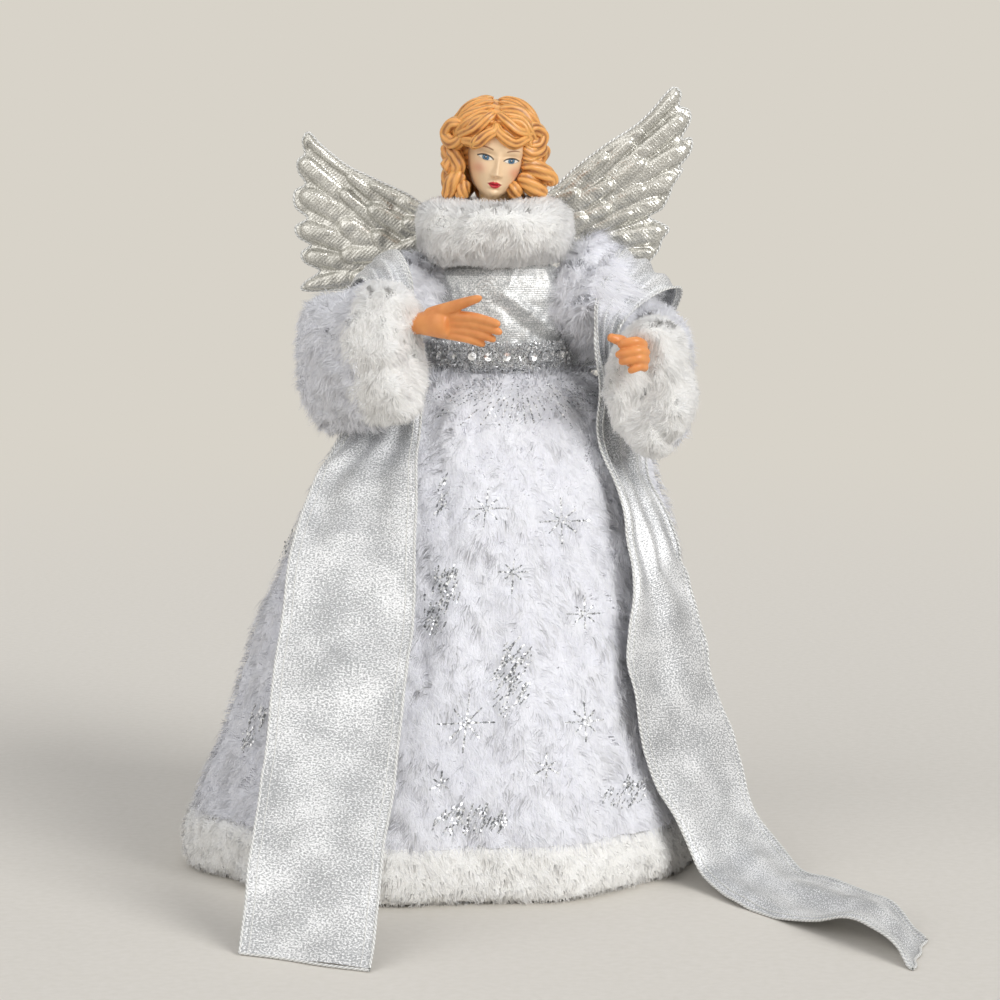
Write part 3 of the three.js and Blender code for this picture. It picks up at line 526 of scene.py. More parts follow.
def skirt():
    columns = 330
    share, angle = round_grid(np.linspace(0, 1, SKIRT_ROWS) ** 1.25, columns)
    height = mix(SKIRT_TOP, SKIRT_FOOT - 2, share)
    points = skirt_points(angle, height, 1.0 + skirt_folds(angle, height))
    uneven = lumps(points * [1, 1, 0.35], 24, 11) * 0.8 + lumps(points * [1, 1, 0.4], 8, 12) * 0.5
    points += unit(points * [1, 1, 0] - [*BASE_SHIFT / 2, 0]) * uneven[..., None]
    faces = grid_faces(SKIRT_ROWS, columns, close_columns=True)[:, ::-1]
    return points.reshape(-1, 3), faces


skirt_surface, skirt_faces = skirt()
skirt_piece = ride(
    mesh_object("skirt", skirt_surface, skirt_faces, gown_ground),
    "root", "skirt", slot="gown_plush",
)
for side, count, width, keep in (
    ("front", 60000, 0.34, lambda c: c[:, 1] < -16),
    ("back", 34000, 0.44, lambda c: c[:, 1] >= -16),
):
    fur = pile(f"skirt_pile_{side}", skirt_surface, skirt_faces, count, 7.5, width, gown_fibre,
               21, lean=0.85, ruffle=0.7, twist=0.25, keep=keep)
    ride(fur, "root", slot="gown_plush")


# Hem: a band of short plush, rounded, standing on the floor


def hem_band():
    rows, columns = 40, 440
    turn, angle = round_grid(rows, columns)
    bulge = np.abs(np.cos(turn)) ** 0.7 * np.sign(np.cos(turn))
    rise = np.abs(np.sin(turn)) ** 0.7 * np.sign(np.sin(turn))
    height = 15.5 + 14 * rise
    points = skirt_points(angle, np.zeros_like(angle), -4 + 7.5 * bulge)
    points[..., 2] = height
    uneven = lumps(points, 30, 31) * 0.8 + lumps(points, 9, 32) * 0.4
    centre = np.array([*BASE_SHIFT, 15.5])
    out = unit(points - centre) * [1, 1, 0]
    points += out * uneven[..., None]
    points[..., 2] = np.maximum(points[..., 2], 0.6)
    faces = grid_faces(rows, columns, close_rows=True, close_columns=True)
    return points.reshape(-1, 3), faces


hem_surface, hem_faces = hem_band()
hem_piece = ride(
    mesh_object("hem_band", hem_surface, hem_faces, trim_ground),
    "root", "hem_band", slot="trim_plush",
)
hem_pile = pile("hem_pile", hem_surface, hem_faces, 38000, 4.5, 0.5, trim_fibre, 33,
                lean=0.85, tuft=7, stray=0.1, ruffle=0.35,
                keep=lambda c: np.hypot(c[:, 0] - BASE_SHIFT[0], c[:, 1] - BASE_SHIFT[1]) > 121)
ride(hem_pile, "root", slot="trim_plush")


# Plush rings and sleeves


def superellipse(turn, power):
    """Cosine and sine of a turn with flattened sides and rounded corners."""
    c, s = np.cos(turn), np.sin(turn)
    return np.abs(c) ** power * np.sign(c), np.abs(s) ** power * np.sign(s)


def dress(name, body, node, points, faces, ground, fibre, slot, count, length, seed, **options):
    """A plush piece: its ground, which stands for a CAD node, and a pile on it."""
    piece = ride(mesh_object(name, points, faces, ground), body, node, slot=slot)
    options = {"width": 0.3, "lean": 0.5, "tuft": 6.0, **options}
    fur = pile(f"{name}_pile", points, faces, count, length, material=fibre, seed=seed, **options)
    ride(fur, body, slot=slot)
    return piece


COMBED_BACK = (0, 0.7, -0.7)
TRIM_PILE = {
    "width": 0.36, "lean": 0.8, "tuft": 9.0, "clumped": 0.1, "stray": 0.14, "ruffle": 0.4,
    "down": COMBED_BACK,
}


def collar_surface():
    """A standing ring round the neck: an oval section, lumpy, a little higher at the back."""
    rows, columns = 44, 220
    turn, angle = round_grid(rows, columns)
    bulge, rise = superellipse(turn, 0.85)
    radius = 25.7 + 13.2 * bulge
    points = np.stack(
        [
            -3 + np.cos(angle) * radius,
            -4 + np.sin(angle) * radius,
            325.0 + 15.0 * rise + 1.2 * np.sin(angle) * (rise > 0),
        ],
        -1,
    )
    centre = np.stack([-3 + np.cos(angle) * 25.7, -4 + np.sin(angle) * 25.7, 0 * angle + 325.2], -1)
    out = unit(points - centre)
    uneven = lumps(points, 24, 41) * 0.7 + lumps(points, 8, 42) * 0.2
    dip = -1.6 * np.exp(-(((angle - 4.05) / 0.16) ** 2)) * (rise > -0.4)
    points += out * (uneven + dip)[..., None]
    faces = grid_faces(rows, columns, close_rows=True, close_columns=True)
    return points.reshape(-1, 3), faces


collar_points, collar_faces = collar_surface()
collar = dress("collar", "root", "collar", collar_points, collar_faces, trim_ground, trim_fibre,
               "trim_plush", 38000, 5.5, 43, **TRIM_PILE)


class Arm:
    """A forearm's own frame, from elbow to wrist: +Z along it, +Y up, +X to the side."""

    def __init__(self, side, elbow, wrist, drop, shift):
        self.side, self.body = side, f"{side}_forearm"
        self.elbow, self.wrist = np.array(elbow, float), np.array(wrist, float)
        self.reach = np.linalg.norm(self.wrist - self.elbow)
        along = (self.wrist - self.elbow) / self.reach
        side_axis = unit(np.cross([0, 0, 1.0], along))
        self.axes = np.stack([side_axis, np.cross(along, side_axis), along])
        self.bell = self.reach - 30
        self.drop, self.shift = drop, shift

    def place(self, local):
        return self.elbow + local @ self.axes


left_arm = Arm("left", (-90, -46, 276), (-41, -75, 280), 14, -8)
right_arm = Arm("right", (84, -26, 270), (67, -75, 268), 21, 4)


def bell_surface(arm, seed, width, height, middle):
    """A bell sleeve: a bag round the elbow that runs to the cuff and closes inside it round the
    wrist. width, height and middle are its half width, half height and centre at the elbow."""
    rows, columns = 80, 150
    share, angle = round_grid(np.linspace(0, 1, rows), columns)
    cap, run, end = clamp(share / 0.25), clamp((share - 0.25) / 0.6), clamp((share - 0.85) / 0.15)
    along = -10 * np.cos(cap * math.pi / 2) + run * (arm.bell + 8) + end * 2
    size = np.sin(cap * math.pi / 2) ** 0.8 * mix(1, 0.25, end**2)
    folds = 1 + 0.045 * np.cos(5 * angle + seed) + 0.03 * np.cos(9 * angle + 2 * run)
    level = mix(middle, -arm.drop, run)
    x = np.cos(angle) * mix(width, 18, run) * size * folds + arm.shift * run
    y = np.sin(angle) * mix(height, 33, run) * size * folds + level
    points = arm.place(np.stack([x, y, along], -1))
    centre = arm.place(np.stack([arm.shift * run, level, along], -1))
    uneven = lumps(points, 18, seed) * 0.7 + lumps(points, 8, seed + 1) * 0.4
    points += unit(points - centre) * (uneven * clamp(size * 3))[..., None]
    return points.reshape(-1, 3), grid_faces(rows, columns, close_columns=True)


def cuff_surface(arm, seed, creases):
    """A cuff: a thick ring round the sleeve's mouth, taller than wide, whose plush closes on the
    wrist. A crease is its angle round the ring, its width and its depth."""
    rows, columns = 56, 180
    turn, angle = round_grid(rows, columns)
    bulge, along = superellipse(turn, 0.68)
    along = np.sign(along) * np.maximum(np.abs(along), 0.85 * smooth(-bulge, 0.2, 0.9))
    radius = 9.8 + 9.1 * bulge
    tall = 14.2 * clamp((radius - 0.1) / 9) ** 0.8
    level = arm.bell + 15.3
    x = np.cos(angle) * radius + arm.shift
    y = np.sin(angle) * (radius + tall) - arm.drop
    points = arm.place(np.stack([x, y, level + 13.2 * along], -1))
    middle = [np.cos(angle) * 9.8 + arm.shift, np.sin(angle) * 24 - arm.drop, 0 * x + level]
    out = unit(points - arm.place(np.stack(middle, -1)))
    uneven = lumps(points, 26, seed) * 1.0 + lumps(points, 11, seed + 1) * 0.2
    for at, width, depth in creases:
        offset = (angle - at + 3 * math.pi) % TAU - math.pi
        uneven -= depth * np.exp(-((offset / width) ** 2)) * smooth(bulge, -0.6, 0.2)
    points += out * uneven[..., None]
    faces = grid_faces(rows, columns, close_rows=True, close_columns=True)
    return points.reshape(-1, 3), faces


for arm, seed, bell_size, creases in (
    (left_arm, 51, (13, 31, -17), [(math.pi + 0.25, 0.22, 3.0), (2.4, 0.2, 1.2)]),
    (right_arm, 61, (11.5, 20, -8), [(5.35, 0.16, 2.6), (0.25, 0.2, 2.0), (3.7, 0.3, 0.8)]),
):
    points, faces = bell_surface(arm, seed, *bell_size)
    dress(f"bell_sleeve_{arm.side}", arm.body, f"bell_sleeve_{arm.side}", points, faces,
          gown_ground, gown_fibre, "gown_plush", 34000, 7.5, seed + 2, lean=0.85, down=COMBED_BACK)
    points, faces = cuff_surface(arm, seed + 4, creases)
    cuff = dress(f"cuff_{arm.side}", arm.body, f"cuff_{arm.side}", points, faces,
                 trim_ground, trim_fibre, "trim_plush", 39000, 6, seed + 6, **TRIM_PILE)


def upper_sleeve_surface(start, end, stations, seed):
    """A puffed upper sleeve from shoulder to elbow. A station is its share of the way, the half
    width and half height there, and how far the cloth hangs below the arm."""
    rows, columns = 90, 140
    share = np.linspace(0, 1, rows)
    angle = np.linspace(0, TAU, columns, endpoint=False)
    start, end = np.array(start, float), np.array(end, float)
    along = unit(end - start)
    side = unit(np.cross([0, 0, 1.0], along))
    at, width, height, hang = np.array(stations).T
    width, height, hang = (catmull(row[:, None], np.interp(share, at, np.linspace(0, 1, len(at))))
                           for row in (width, height, hang))
    line = start + share[:, None] * (end - start) - hang * [0, 0, 1]
    folds = 1 + 0.05 * np.cos(4 * angle + seed) * np.sin(share * math.pi)[:, None]
    ring = (side * (np.cos(angle) * width * folds)[..., None]
            + np.cross(along, side) * (np.sin(angle) * height * folds)[..., None])
    points = line[:, None] + ring
    uneven = lumps(points, 17, seed) * 0.9 + lumps(points, 8, seed + 1) * 0.4
    points += unit(ring) * (uneven * clamp(width / 5))[..., None]
    return points.reshape(-1, 3), grid_faces(rows, columns, close_columns=True)


LEFT_PUFF = [(0, 0.5, 0.5, 0), (0.05, 13, 17, 1), (0.2, 15.5, 21, 3), (0.4, 14.5, 18, 3),
             (0.6, 12, 13, 1), (0.85, 8, 8.5, 0), (0.93, 6, 6, 0), (1, 0.5, 0.5, 0)]
RIGHT_PUFF = [(0, 0.5, 0.5, 0), (0.04, 16, 21, 1), (0.13, 21, 27, 3), (0.22, 20.5, 25, 4),
              (0.3, 18, 20.5, 2), (0.4, 22, 23, 0), (0.55, 21.5, 22, 0), (0.75, 15, 15, 0),
              (0.9, 10, 10, 0), (1, 0.5, 0.5, 0)]
for side, start, end, stations, length, seed in (
    ("left", (-34, 4, 295.5), (-84, -41, 278), LEFT_PUFF, 8, 71),
    ("right", (34, 4, 297.5), (80, -23.5, 272), RIGHT_PUFF, 11, 81),
):
    puff_points, puff_faces = upper_sleeve_surface(start, end, stations, seed)
    dress(f"upper_sleeve_{side}", "root", f"upper_sleeve_{side}", puff_points, puff_faces,
          gown_ground, gown_fibre, "gown_plush", 31000, length, seed + 2, lean=0.85,
          down=COMBED_BACK)

# The right upper sleeve's long pile falls over the ribbon's inner edge.
lock = pile("upper_sleeve_right_lock", puff_points, puff_faces, 9000, 15, 0.4, gown_fibre, 87,
            lean=0.9, down=(0.95, -0.3, -0.5),
            keep=lambda c: (np.abs(c[:, 0] - 52) < 7) & (c[:, 1] < 2) & (c[:, 2] > 282))
ride(lock, "root", slot="gown_plush")


# Lame cloth


def lame_material(name, light, dark, across, along, roughness, metallic, weave="Y"):
    """Woven metallic cloth: flat silver yarns whose glints are painted into the colour as light and
    dark flecks, more in some patches than in others. across and along are the sizes of its flecks
    in the cloth's own coordinates."""
    made, tree, shader = new_material(name, roughness, metallic)
    place = add(tree, "UVMap", uv_map="UV").outputs["UV"]
    sizes = (0.001 / across, 0.001 / along, 1)
    drawn = add(tree, "Mapping", {"Vector": place, "Scale": sizes}).outputs["Vector"]
    flecks = add(tree, "TexNoise", {"Vector": drawn, "Scale": 1000, "Detail": 1.5,
                                    "Roughness": 0.7}).outputs["Fac"]
    patches = add(tree, "TexNoise", {"Vector": place, "Scale": 40, "Detail": 2}).outputs["Fac"]
    both = add(tree, "Math", {0: patches, 1: 0.35, 2: flecks},
               operation="MULTIPLY_ADD").outputs["Value"]
    # Painted glints: the flecks and patches set the colour's light and dark.
    shade = add(tree, "ValToRGB", {"Fac": both}, [(0.59, dark), (0.78, light)]).outputs["Color"]
    rows = add(tree, "TexWave", {"Vector": place, "Scale": 0.314 / 0.0011, "Distortion": 2.5,
                                 "Detail": 1.0, "Detail Scale": 4.0}, bands_direction=weave)
    height = add(tree, "Math", {0: rows.outputs["Fac"], 1: 0.5, 2: flecks},
                 operation="MULTIPLY_ADD")
    cover(tree, shader, shade, height.outputs["Value"], 0.0004, 0.4)
    return made


ribbon_lame = lame_material("ribbon_lame", "F6F7F9", "A9ABAE", 0.0011, 0.0008, 0.52, 0.5)
bodice_lame = lame_material("bodice_lame", "ECECEB", "B4B6B6", 0.0007, 0.001, 0.48, 0.5)
wing_lame = lame_material("wing_lame", "E4E3DE", "B6B5AF", 0.0009, 0.0009, 0.3, 0.8, "DIAGONAL")


def edge_material():
    """Whip stitching: a thread wound round the wire, its turns a little over a millimetre apart."""
    made, tree, shader = new_material("whip_stitch", 0.5, 0.25)
    place = add(tree, "UVMap", uv_map="UV").outputs["UV"]
    turns = add(tree, "TexWave", {"Vector": place, "Scale": 0.314 / 0.0013, "Distortion": 0.6},
                bands_direction="DIAGONAL").outputs["Fac"]
    stops = [(0.1, "CDCECB"), (0.6, "F1F1EF")]
    shade = add(tree, "ValToRGB", {"Fac": turns}, stops).outputs["Color"]
    cover(tree, shader, shade, turns, 0.0006, 0.8)
    return made


whip_stitch = edge_material()


def welt(line, radius, pitch):
    """A round edge along a line, swollen a little by each turn of its stitching."""
    sides = 8
    _, side, up = frames(line)
    angle = np.arange(sides + 1) / sides * TAU
    ring = side[:, None] * np.cos(angle)[:, None] + up[:, None] * np.sin(angle)[:, None]
    length = np.append(0, np.cumsum(np.linalg.norm(np.diff(line, axis=0), axis=1)))
    swollen = radius * (1 + 0.07 * np.sin(length * TAU / pitch))
    points = line[:, None] + ring * swollen[:, None, None]
    uv = np.stack(np.broadcast_arrays(angle[None] * radius * MM, length[:, None] * MM), -1)
    faces = grid_faces(len(line), sides + 1)
    return points.reshape(-1, 3), faces, uv.reshape(-1, 2)


# Ribbon stole: one wired ribbon from the left tail up over the left arm, across the back, over
# the right arm and down to the right tail. Its stations are shares, within 6 mm of the part's:
# inner and outer edge [x, y, z] of the hem's radius twice and of the height of the waist.

RIBBON_WIDTH = 63
PLEAT_SHARE = 0.5
RIBBON = np.array(
    [
        [[-0.44, -2.02, 0.003], [-0.905, -1.79, 0.003]],
        [[-0.42, -1.82, 0.107], [-0.89, -1.63, 0.115]],
        [[-0.39, -1.56, 0.258], [-0.86, -1.37, 0.262]],
        [[-0.33, -1.12, 0.516], [-0.82, -0.97, 0.516]],
        [[-0.315, -0.78, 0.73], [-0.755, -0.66, 0.73]],
        [[-0.315, -0.56, 0.857], [-0.675, -0.45, 0.825]],
        [[-0.3, -0.36, 0.99], [-0.56, -0.35, 0.93]],
        [[-0.325, -0.235, 1.09], [-0.43, -0.31, 1.06]],
        [[-0.345, -0.25, 1.19], [-0.49, -0.32, 1.155]],
        [[-0.41, -0.12, 1.25], [-0.54, -0.215, 1.195]],
        [[-0.48, 0.05, 1.22], [-0.6, -0.08, 1.16]],
        [[-0.45, 0.14, 1.15], [-0.62, 0.02, 1.07]],
        [[-0.32, 0.26, 1.14], [-0.45, 0.2, 1]],
        [[0, 0.335, 1.14], [0, 0.35, 0.99]],
        [[0.32, 0.26, 1.14], [0.44, 0.22, 1]],
        [[0.49, 0.1, 1.19], [0.66, 0.06, 1.09]],
        [[0.47, -0.08, 1.245], [0.71, -0.1, 1.175]],
        [[0.38, -0.27, 1.16], [0.5, -0.29, 1.12]],
        [[0.375, -0.31, 1.08], [0.445, -0.28, 1.04]],
        [[0.385, -0.33, 1], [0.49, -0.16, 0.97]],
        [[0.405, -0.455, 0.853], [0.58, -0.17, 0.84]],
        [[0.45, -0.545, 0.754], [0.61, -0.27, 0.765]],
        [[0.495, -0.61, 0.635], [0.69, -0.35, 0.675]],
        [[0.495, -0.72, 0.484], [0.775, -0.36, 0.515]],
        [[0.515, -0.775, 0.365], [0.87, -0.37, 0.337]],
        [[0.62, -0.75, 0.187], [0.97, -0.38, 0.151]],
        [[0.75, -0.78, 0.032], [1.06, -0.45, 0.08]],
        [[0.89, -1.09, 0.008], [1.16, -0.75, 0.036]],
        [[1.09, -1.42, 0.024], [1.3, -1.04, 0.04]],
        [[1.27, -1.69, 0.056], [1.39, -1.27, 0.036]],
        [[1.375, -1.88, 0.036], [1.46, -1.45, 0.016]],
        [[1.42, -2.01, 0.004], [1.505, -1.62, 0.004]],
    ]
) * [131, 131, 252.3]


def ribbon_surface():
    """The ribbon's sheet: straight across between its two edges where those are its width
    apart, and elsewhere in even soft pleats. The depth at which the cloth across would keep its
    whole width comes from the length of a cosine wave, about 1 + (pi depth waves / span)
    squared, and the pleats have a share of that depth."""
    rows, columns = 400, 61
    at = np.linspace(0, 1, 4000)
    edges = catmull(RIBBON.reshape(len(RIBBON), 6), at).reshape(-1, 2, 3)
    travelled = np.append(0, np.cumsum(np.linalg.norm(np.diff(edges.mean(1), axis=0), axis=1)))
    even = np.interp(np.linspace(0, travelled[-1], rows), travelled, at)
    edges = catmull(RIBBON.reshape(len(RIBBON), 6), even).reshape(-1, 2, 3)
    across = np.linspace(0, 1, columns)[None, :, None]
    points = edges[:, :1] * (1 - across) + edges[:, 1:] * across
    span = np.linalg.norm(edges[:, 1] - edges[:, 0], axis=1)
    slack = np.maximum(RIBBON_WIDTH / span, 1.001)
    waves = mix(2, 3, smooth(slack, 1.1, 1.4))
    depth = PLEAT_SHARE * span / (math.pi * waves) * np.sqrt(slack - 1)
    waves = waves[:, None]
    depth = np.convolve(np.pad(depth, 6, "edge"), np.ones(13) / 13, "valid")
    face = unit(np.cross(np.gradient(points, axis=0), (edges[:, 1] - edges[:, 0])[:, None]))
    wave = np.sin(across[..., 0] * TAU * waves)
    points += face * (depth[:, None] * wave)[..., None]
    soft = lumps(points, 60, 91) * 1.3 + lumps(points, 24, 92) * 0.4
    points += face * soft[..., None]
    points[..., 2] = np.maximum(points[..., 2], 0.8)
    metres = np.stack(
        [
            np.broadcast_to(across[..., 0] * RIBBON_WIDTH * MM, (rows, columns)),
            np.broadcast_to((np.linspace(0, travelled[-1], rows) * MM)[:, None], (rows, columns)),
        ],
        -1,
    )
    return points, face, metres


ribbon_points, ribbon_face, ribbon_uv = ribbon_surface()
stole = mesh_object("stole", ribbon_points.reshape(-1, 3), grid_faces(*ribbon_points.shape[:2]),
                    ribbon_lame, uv=ribbon_uv.reshape(-1, 2))
ride(stole, "root", "stole", slot="ribbon_lame")


def ribbon_edges():
    """The stitched wire along both long edges, the turned hem across both ends, and a row of
    stitches four millimetres in from each long edge."""
    lines = [ribbon_points[:, 0], ribbon_points[:, -1]]
    seams = [welt(ribbon_points[:, column], 0.3, 1.6) for column in (4, -5)]
    lines += [ribbon_points[0] * [1, 1, 0] + [0, 0, 1], ribbon_points[-1] * [1, 1, 0] + [0, 0, 1]]
    return combine([welt(line, 0.7, 1.6) for line in lines] + seams)


points, faces, uv = ribbon_edges()
stole_edge = ride(mesh_object("stole_edge", points, faces, whip_stitch, uv=uv), "root",
                  slot="ribbon_lame")


# Galvanised steel wire: drawn, with a dull spangle.
steel_wire = mottled("steel_wire", 0.35, 1.0, 500, 2, [(0.35, "9A9DA0"), (0.65, "C6C8CA")])


# Wings: two sheets of lame sewn round a thin pad and pressed into three rows of feathers. An
# outline runs from the hinge along the leading edge. A feather is its tip, its root, half its
# width and its row, in the wing's own plane: millimetres out from the hinge and up.

WING_HINGE = (8, 45, 338)
LEFT_WING = {
    "sweep": math.radians(10),
    "tip": 7,
    "outline": [
        (0, 3), (27.3, -1.9), (43.7, 6.1), (64.0, 15.2), (76.1, 21.1), (89.8, 31.8), (96.4, 38.3),
        (99.8, 34.5), (98.7, 27.0), (102.6, 23.3), (102.1, 17.4), (98.3, 10.9), (104.4, 6.6),
        (103.9, -1.5), (97.3, -7.4), (104.0, -12.2), (102.4, -17.6), (95.7, -21.9), (100.8, -26.2),
        (99.1, -31.1), (90.8, -35.9), (99.2, -42.4), (100.1, -46.2), (85.3, -46.1), (57.6, -43.3),
        (32.8, -30.8), (8, -10), (0, -3),
    ],
    "feathers": [
        ((96.7, 37.4), (59.6, 12.0), 3.8, 0), ((101.0, 24.9), (74.0, 0.2), 4.9, 0),
        ((101.6, 6.6), (70.7, -9.4), 6.0, 0), ((101.5, -12.2), (70.8, -22.9), 5.5, 0),
        ((99.1, -27.3), (70.8, -32.6), 4.9, 0), ((99.2, -44.6), (74.2, -38.5), 4.4, 0),
        ((75.3, 17.0), (54.7, -0.3), 3.3, 1), ((79.5, 8.2), (58.6, -10.5), 3.8, 1),
        ((80.3, -7.3), (59.8, -23.4), 6.6, 1), ((80.4, -27.8), (53.2, -25.5), 5.5, 1),
        ((74.2, -39.6), (51.0, -36.2), 4.4, 1), ((63.2, 12.3), (39.9, -1.9), 3.3, 2),
        ((64.8, -0.3), (43.2, -13.1), 5.5, 2), ((62.5, -14.5), (48.7, -24.4), 5.5, 2),
        ((52.8, -27.1), (37.7, -20.6), 3.8, 2), ((46.5, -9.4), (30.1, -12.6), 4.9, 2),
        ((44.0, 2.5), (22.0, -5.0), 3.6, 2), ((30.0, -14.0), (10.0, -5.0), 5.0, 2),
    ],
}
RIGHT_WING = {
    "sweep": math.radians(5),
    "tip": 8,
    "outline": [
        (0, 3), (16.7, 6.2), (33.3, 20.0), (48.9, 31.7), (64.0, 41.3), (73.1, 49.3), (82.2, 59.9),
        (86.0, 62.1), (89.0, 59.1), (88.2, 52.5), (93.1, 50.4), (94.2, 45.1), (89.4, 34.9),
        (94.8, 35.0), (94.3, 28.0), (87.9, 19.5), (90.1, 18.4), (84.7, 9.9), (83.6, 6.1),
        (79.3, -1.9), (72.3, -6.7), (82.6, -12.6), (79.4, -18.5), (76.2, -26.0), (64.9, -35.1),
        (45.9, -30.7), (24.3, -24.3), (8, -10), (0, -3),
    ],
    "feathers": [
        ((86.5, 59.9), (44.7, 17.3), 4.4, 0), ((92.0, 47.7), (44.7, 7.8), 5.2, 0),
        ((93.2, 31.2), (41.5, -0.2), 5.5, 0), ((87.4, 14.7), (40.4, -7.2), 5.5, 0),
        ((79.9, 2.4), (37.7, -14.7), 5.5, 0), ((81.6, -14.2), (47.5, -20.6), 6.0, 0),
        ((75.7, -26.5), (51.3, -26.5), 3.8, 0), ((66.0, -34.0), (45.9, -30.7), 3.8, 0),
        ((63.5, 35.5), (39.3, 11.0), 3.3, 1), ((70.3, 24.8), (45.8, 4.6), 4.9, 1),
        ((71.2, 9.9), (44.7, -6.1), 5.2, 1), ((64.5, -3.5), (40.4, -15.2), 4.4, 1),
        ((50.6, 26.9), (27.4, 6.2), 3.3, 2), ((54.4, 13.1), (30.7, -1.8), 5.5, 2),
        ((52.8, -0.3), (29.6, -12.5), 4.9, 2), ((40.4, -5.6), (22.1, -14.6), 4.9, 2),
        ((35.0, 7.8), (18.8, -0.2), 4.4, 2), ((26.0, -3.0), (8.0, -2.0), 4.6, 2),
    ],
}


def line_distance(points, line):
    """The distance from each point to the nearest place on a line of points."""
    best = np.full(len(points), np.inf)
    for start, step in zip(line[:-1], np.diff(line, axis=0)):
        share = clamp((points - start) @ step / (step @ step))
        best = np.minimum(best, np.linalg.norm(points - start - share[:, None] * step, axis=1))
    return best


def feather_height(plane, tip, root, half_width, row):
    """A puffed feather: an even ridge with a round tip, highest near the tip."""
    tip, root = np.array(tip, float), np.array(root, float)
    length = np.linalg.norm(root - tip)
    ahead = (root - tip) / length
    along = (plane - tip) @ ahead
    aside = (plane - tip) @ [-ahead[1], ahead[0]]
    rounding = half_width * 1.4
    reach = np.hypot(aside / half_width, clamp((rounding - along) / rounding, 0, 9))
    crown = mix(4.2, 1.6, smooth(along, 0, length)) + 0.5 * row
    return crown * clamp(1 - reach**3.6) * (1 - smooth(along, length * 0.9, length + 8))


def wing(side, spec, seed):
    turn = 1 if side == "right" else -1
    outline = np.array(spec["outline"], float)
    count = len(outline)
    looped = np.vstack([outline, outline[:1]])
    edge = catmull(looped, np.linspace(0, 1, count * 14, endpoint=False))
    leading = catmull(looped, np.linspace(0, spec["tip"] / count, 80))
    low, high = edge.min(0), edge.max(0)
    grid = np.stack(np.meshgrid(*[np.arange(a, b, 0.62) for a, b in zip(low, high)]), -1)
    grid = grid.reshape(-1, 2)
    grid = grid[line_distance(grid, np.vstack([edge, edge[:1]])) > 0.4]
    places = [Vector(point) for point in np.vstack([edge, grid])]
    ring = [list(range(len(edge)))]
    plane, _, faces, *_ = delaunay_2d_cdt(places, [], ring, 1, 1e-5)
    plane = np.array([tuple(point) for point in plane])
    faces = np.array(faces)
    used = np.unique(faces)
    number = np.full(len(plane), -1)
    number[used] = np.arange(len(used))
    plane, faces = plane[used], number[faces]

    inset = line_distance(plane, np.vstack([edge, edge[:1]]))
    height = np.max([feather_height(plane, *feather) for feather in spec["feathers"]], axis=0)
    rolled = 2.6 * clamp(1 - ((line_distance(plane, leading) - 2.6) / 2.6) ** 2)
    flat_points = np.column_stack([plane, np.zeros(len(plane))])
    height = np.maximum(height, rolled) + 0.12 * lumps(flat_points, 7, seed)
    height = (0.9 + height) * np.sqrt(clamp(inset / 2.2))

    out = np.array([turn * math.cos(spec["sweep"]), math.sin(spec["sweep"]), 0])
    up = np.array([0, 0, 1.0])
    forward = turn * np.cross(out, up)
    hinge = np.array(WING_HINGE) * [turn, 1, 1]
    middle = hinge + plane[:, :1] * out + plane[:, 1:] * up
    front = middle + forward * height[:, None]
    back = middle - forward * (0.75 * height)[:, None]
    behind = np.where(inset < 1e-3, np.arange(len(plane)), len(plane) + np.arange(len(plane)))
    points = np.vstack([front, back])
    faces = np.vstack([faces[:, ::turn], behind[faces[:, ::-turn]]])
    used = np.unique(faces)
    number = np.full(len(points), -1)
    number[used] = np.arange(len(used))
    uv = np.vstack([plane, plane]) * MM
    piece = mesh_object(f"wing_{side}", points[used], number[faces], wing_lame, uv=uv[used])
    ride(piece, f"{side}_wing", f"wing_{side}", slot="wing_lame")
    seam_line = hinge + edge[:, :1] * out + edge[:, 1:] * up
    points, faces, uv = welt(np.vstack([seam_line, seam_line[:2]]), 0.7, 1.3)
    seam = mesh_object(f"wing_{side}_seam", points, faces, whip_stitch, uv=uv)
    ride(seam, f"{side}_wing", slot="wing_lame")
    inner = leading[4:] - [0, 3.2]
    line = hinge + inner[:, :1] * out + inner[:, 1:] * up
    points, faces, _ = sausage(line[::8], [0.8] * len(line[::8]), steps=60, sides=10)
    spine = mesh_object(f"wing_{side}_spine", points, faces, steel_wire)
    ride(spine, f"{side}_wing", f"wing_wire_{side}", slot="wire")


wing("left", LEFT_WING, 101)
wing("right", RIGHT_WING, 102)


# Bodice and belt

TORSO_FOOT, TORSO_HEIGHT = 246.3, 59.5


def torso_points(angle, height, grow):
    """Points round the torso's oval at a height, moved out by grow."""
    share = (height - TORSO_FOOT) / (TORSO_HEIGHT + grow)
    radius = np.interp(share, [0, 0.35, 0.72, 0.82, 0.9, 0.96, 1.0],
                       [0.93, 0.94, 1, 0.985, 0.94, 0.85, 0.72])
    x = np.cos(angle) * (33 + grow) * radius
    y = np.sin(angle) * (25 + grow) * radius
    return np.stack([x, y, np.broadcast_to(height, x.shape)], -1)


def ridge(points, start, end, width, height):
    """A soft crease across the front, from one (x, z) to another."""
    distance = line_distance(points[..., [0, 2]].reshape(-1, 2), np.array([start, end], float))
    raised = height * np.exp(-((distance.reshape(points.shape[:-1]) / width) ** 2))
    return raised * (points[..., 1] < 0)


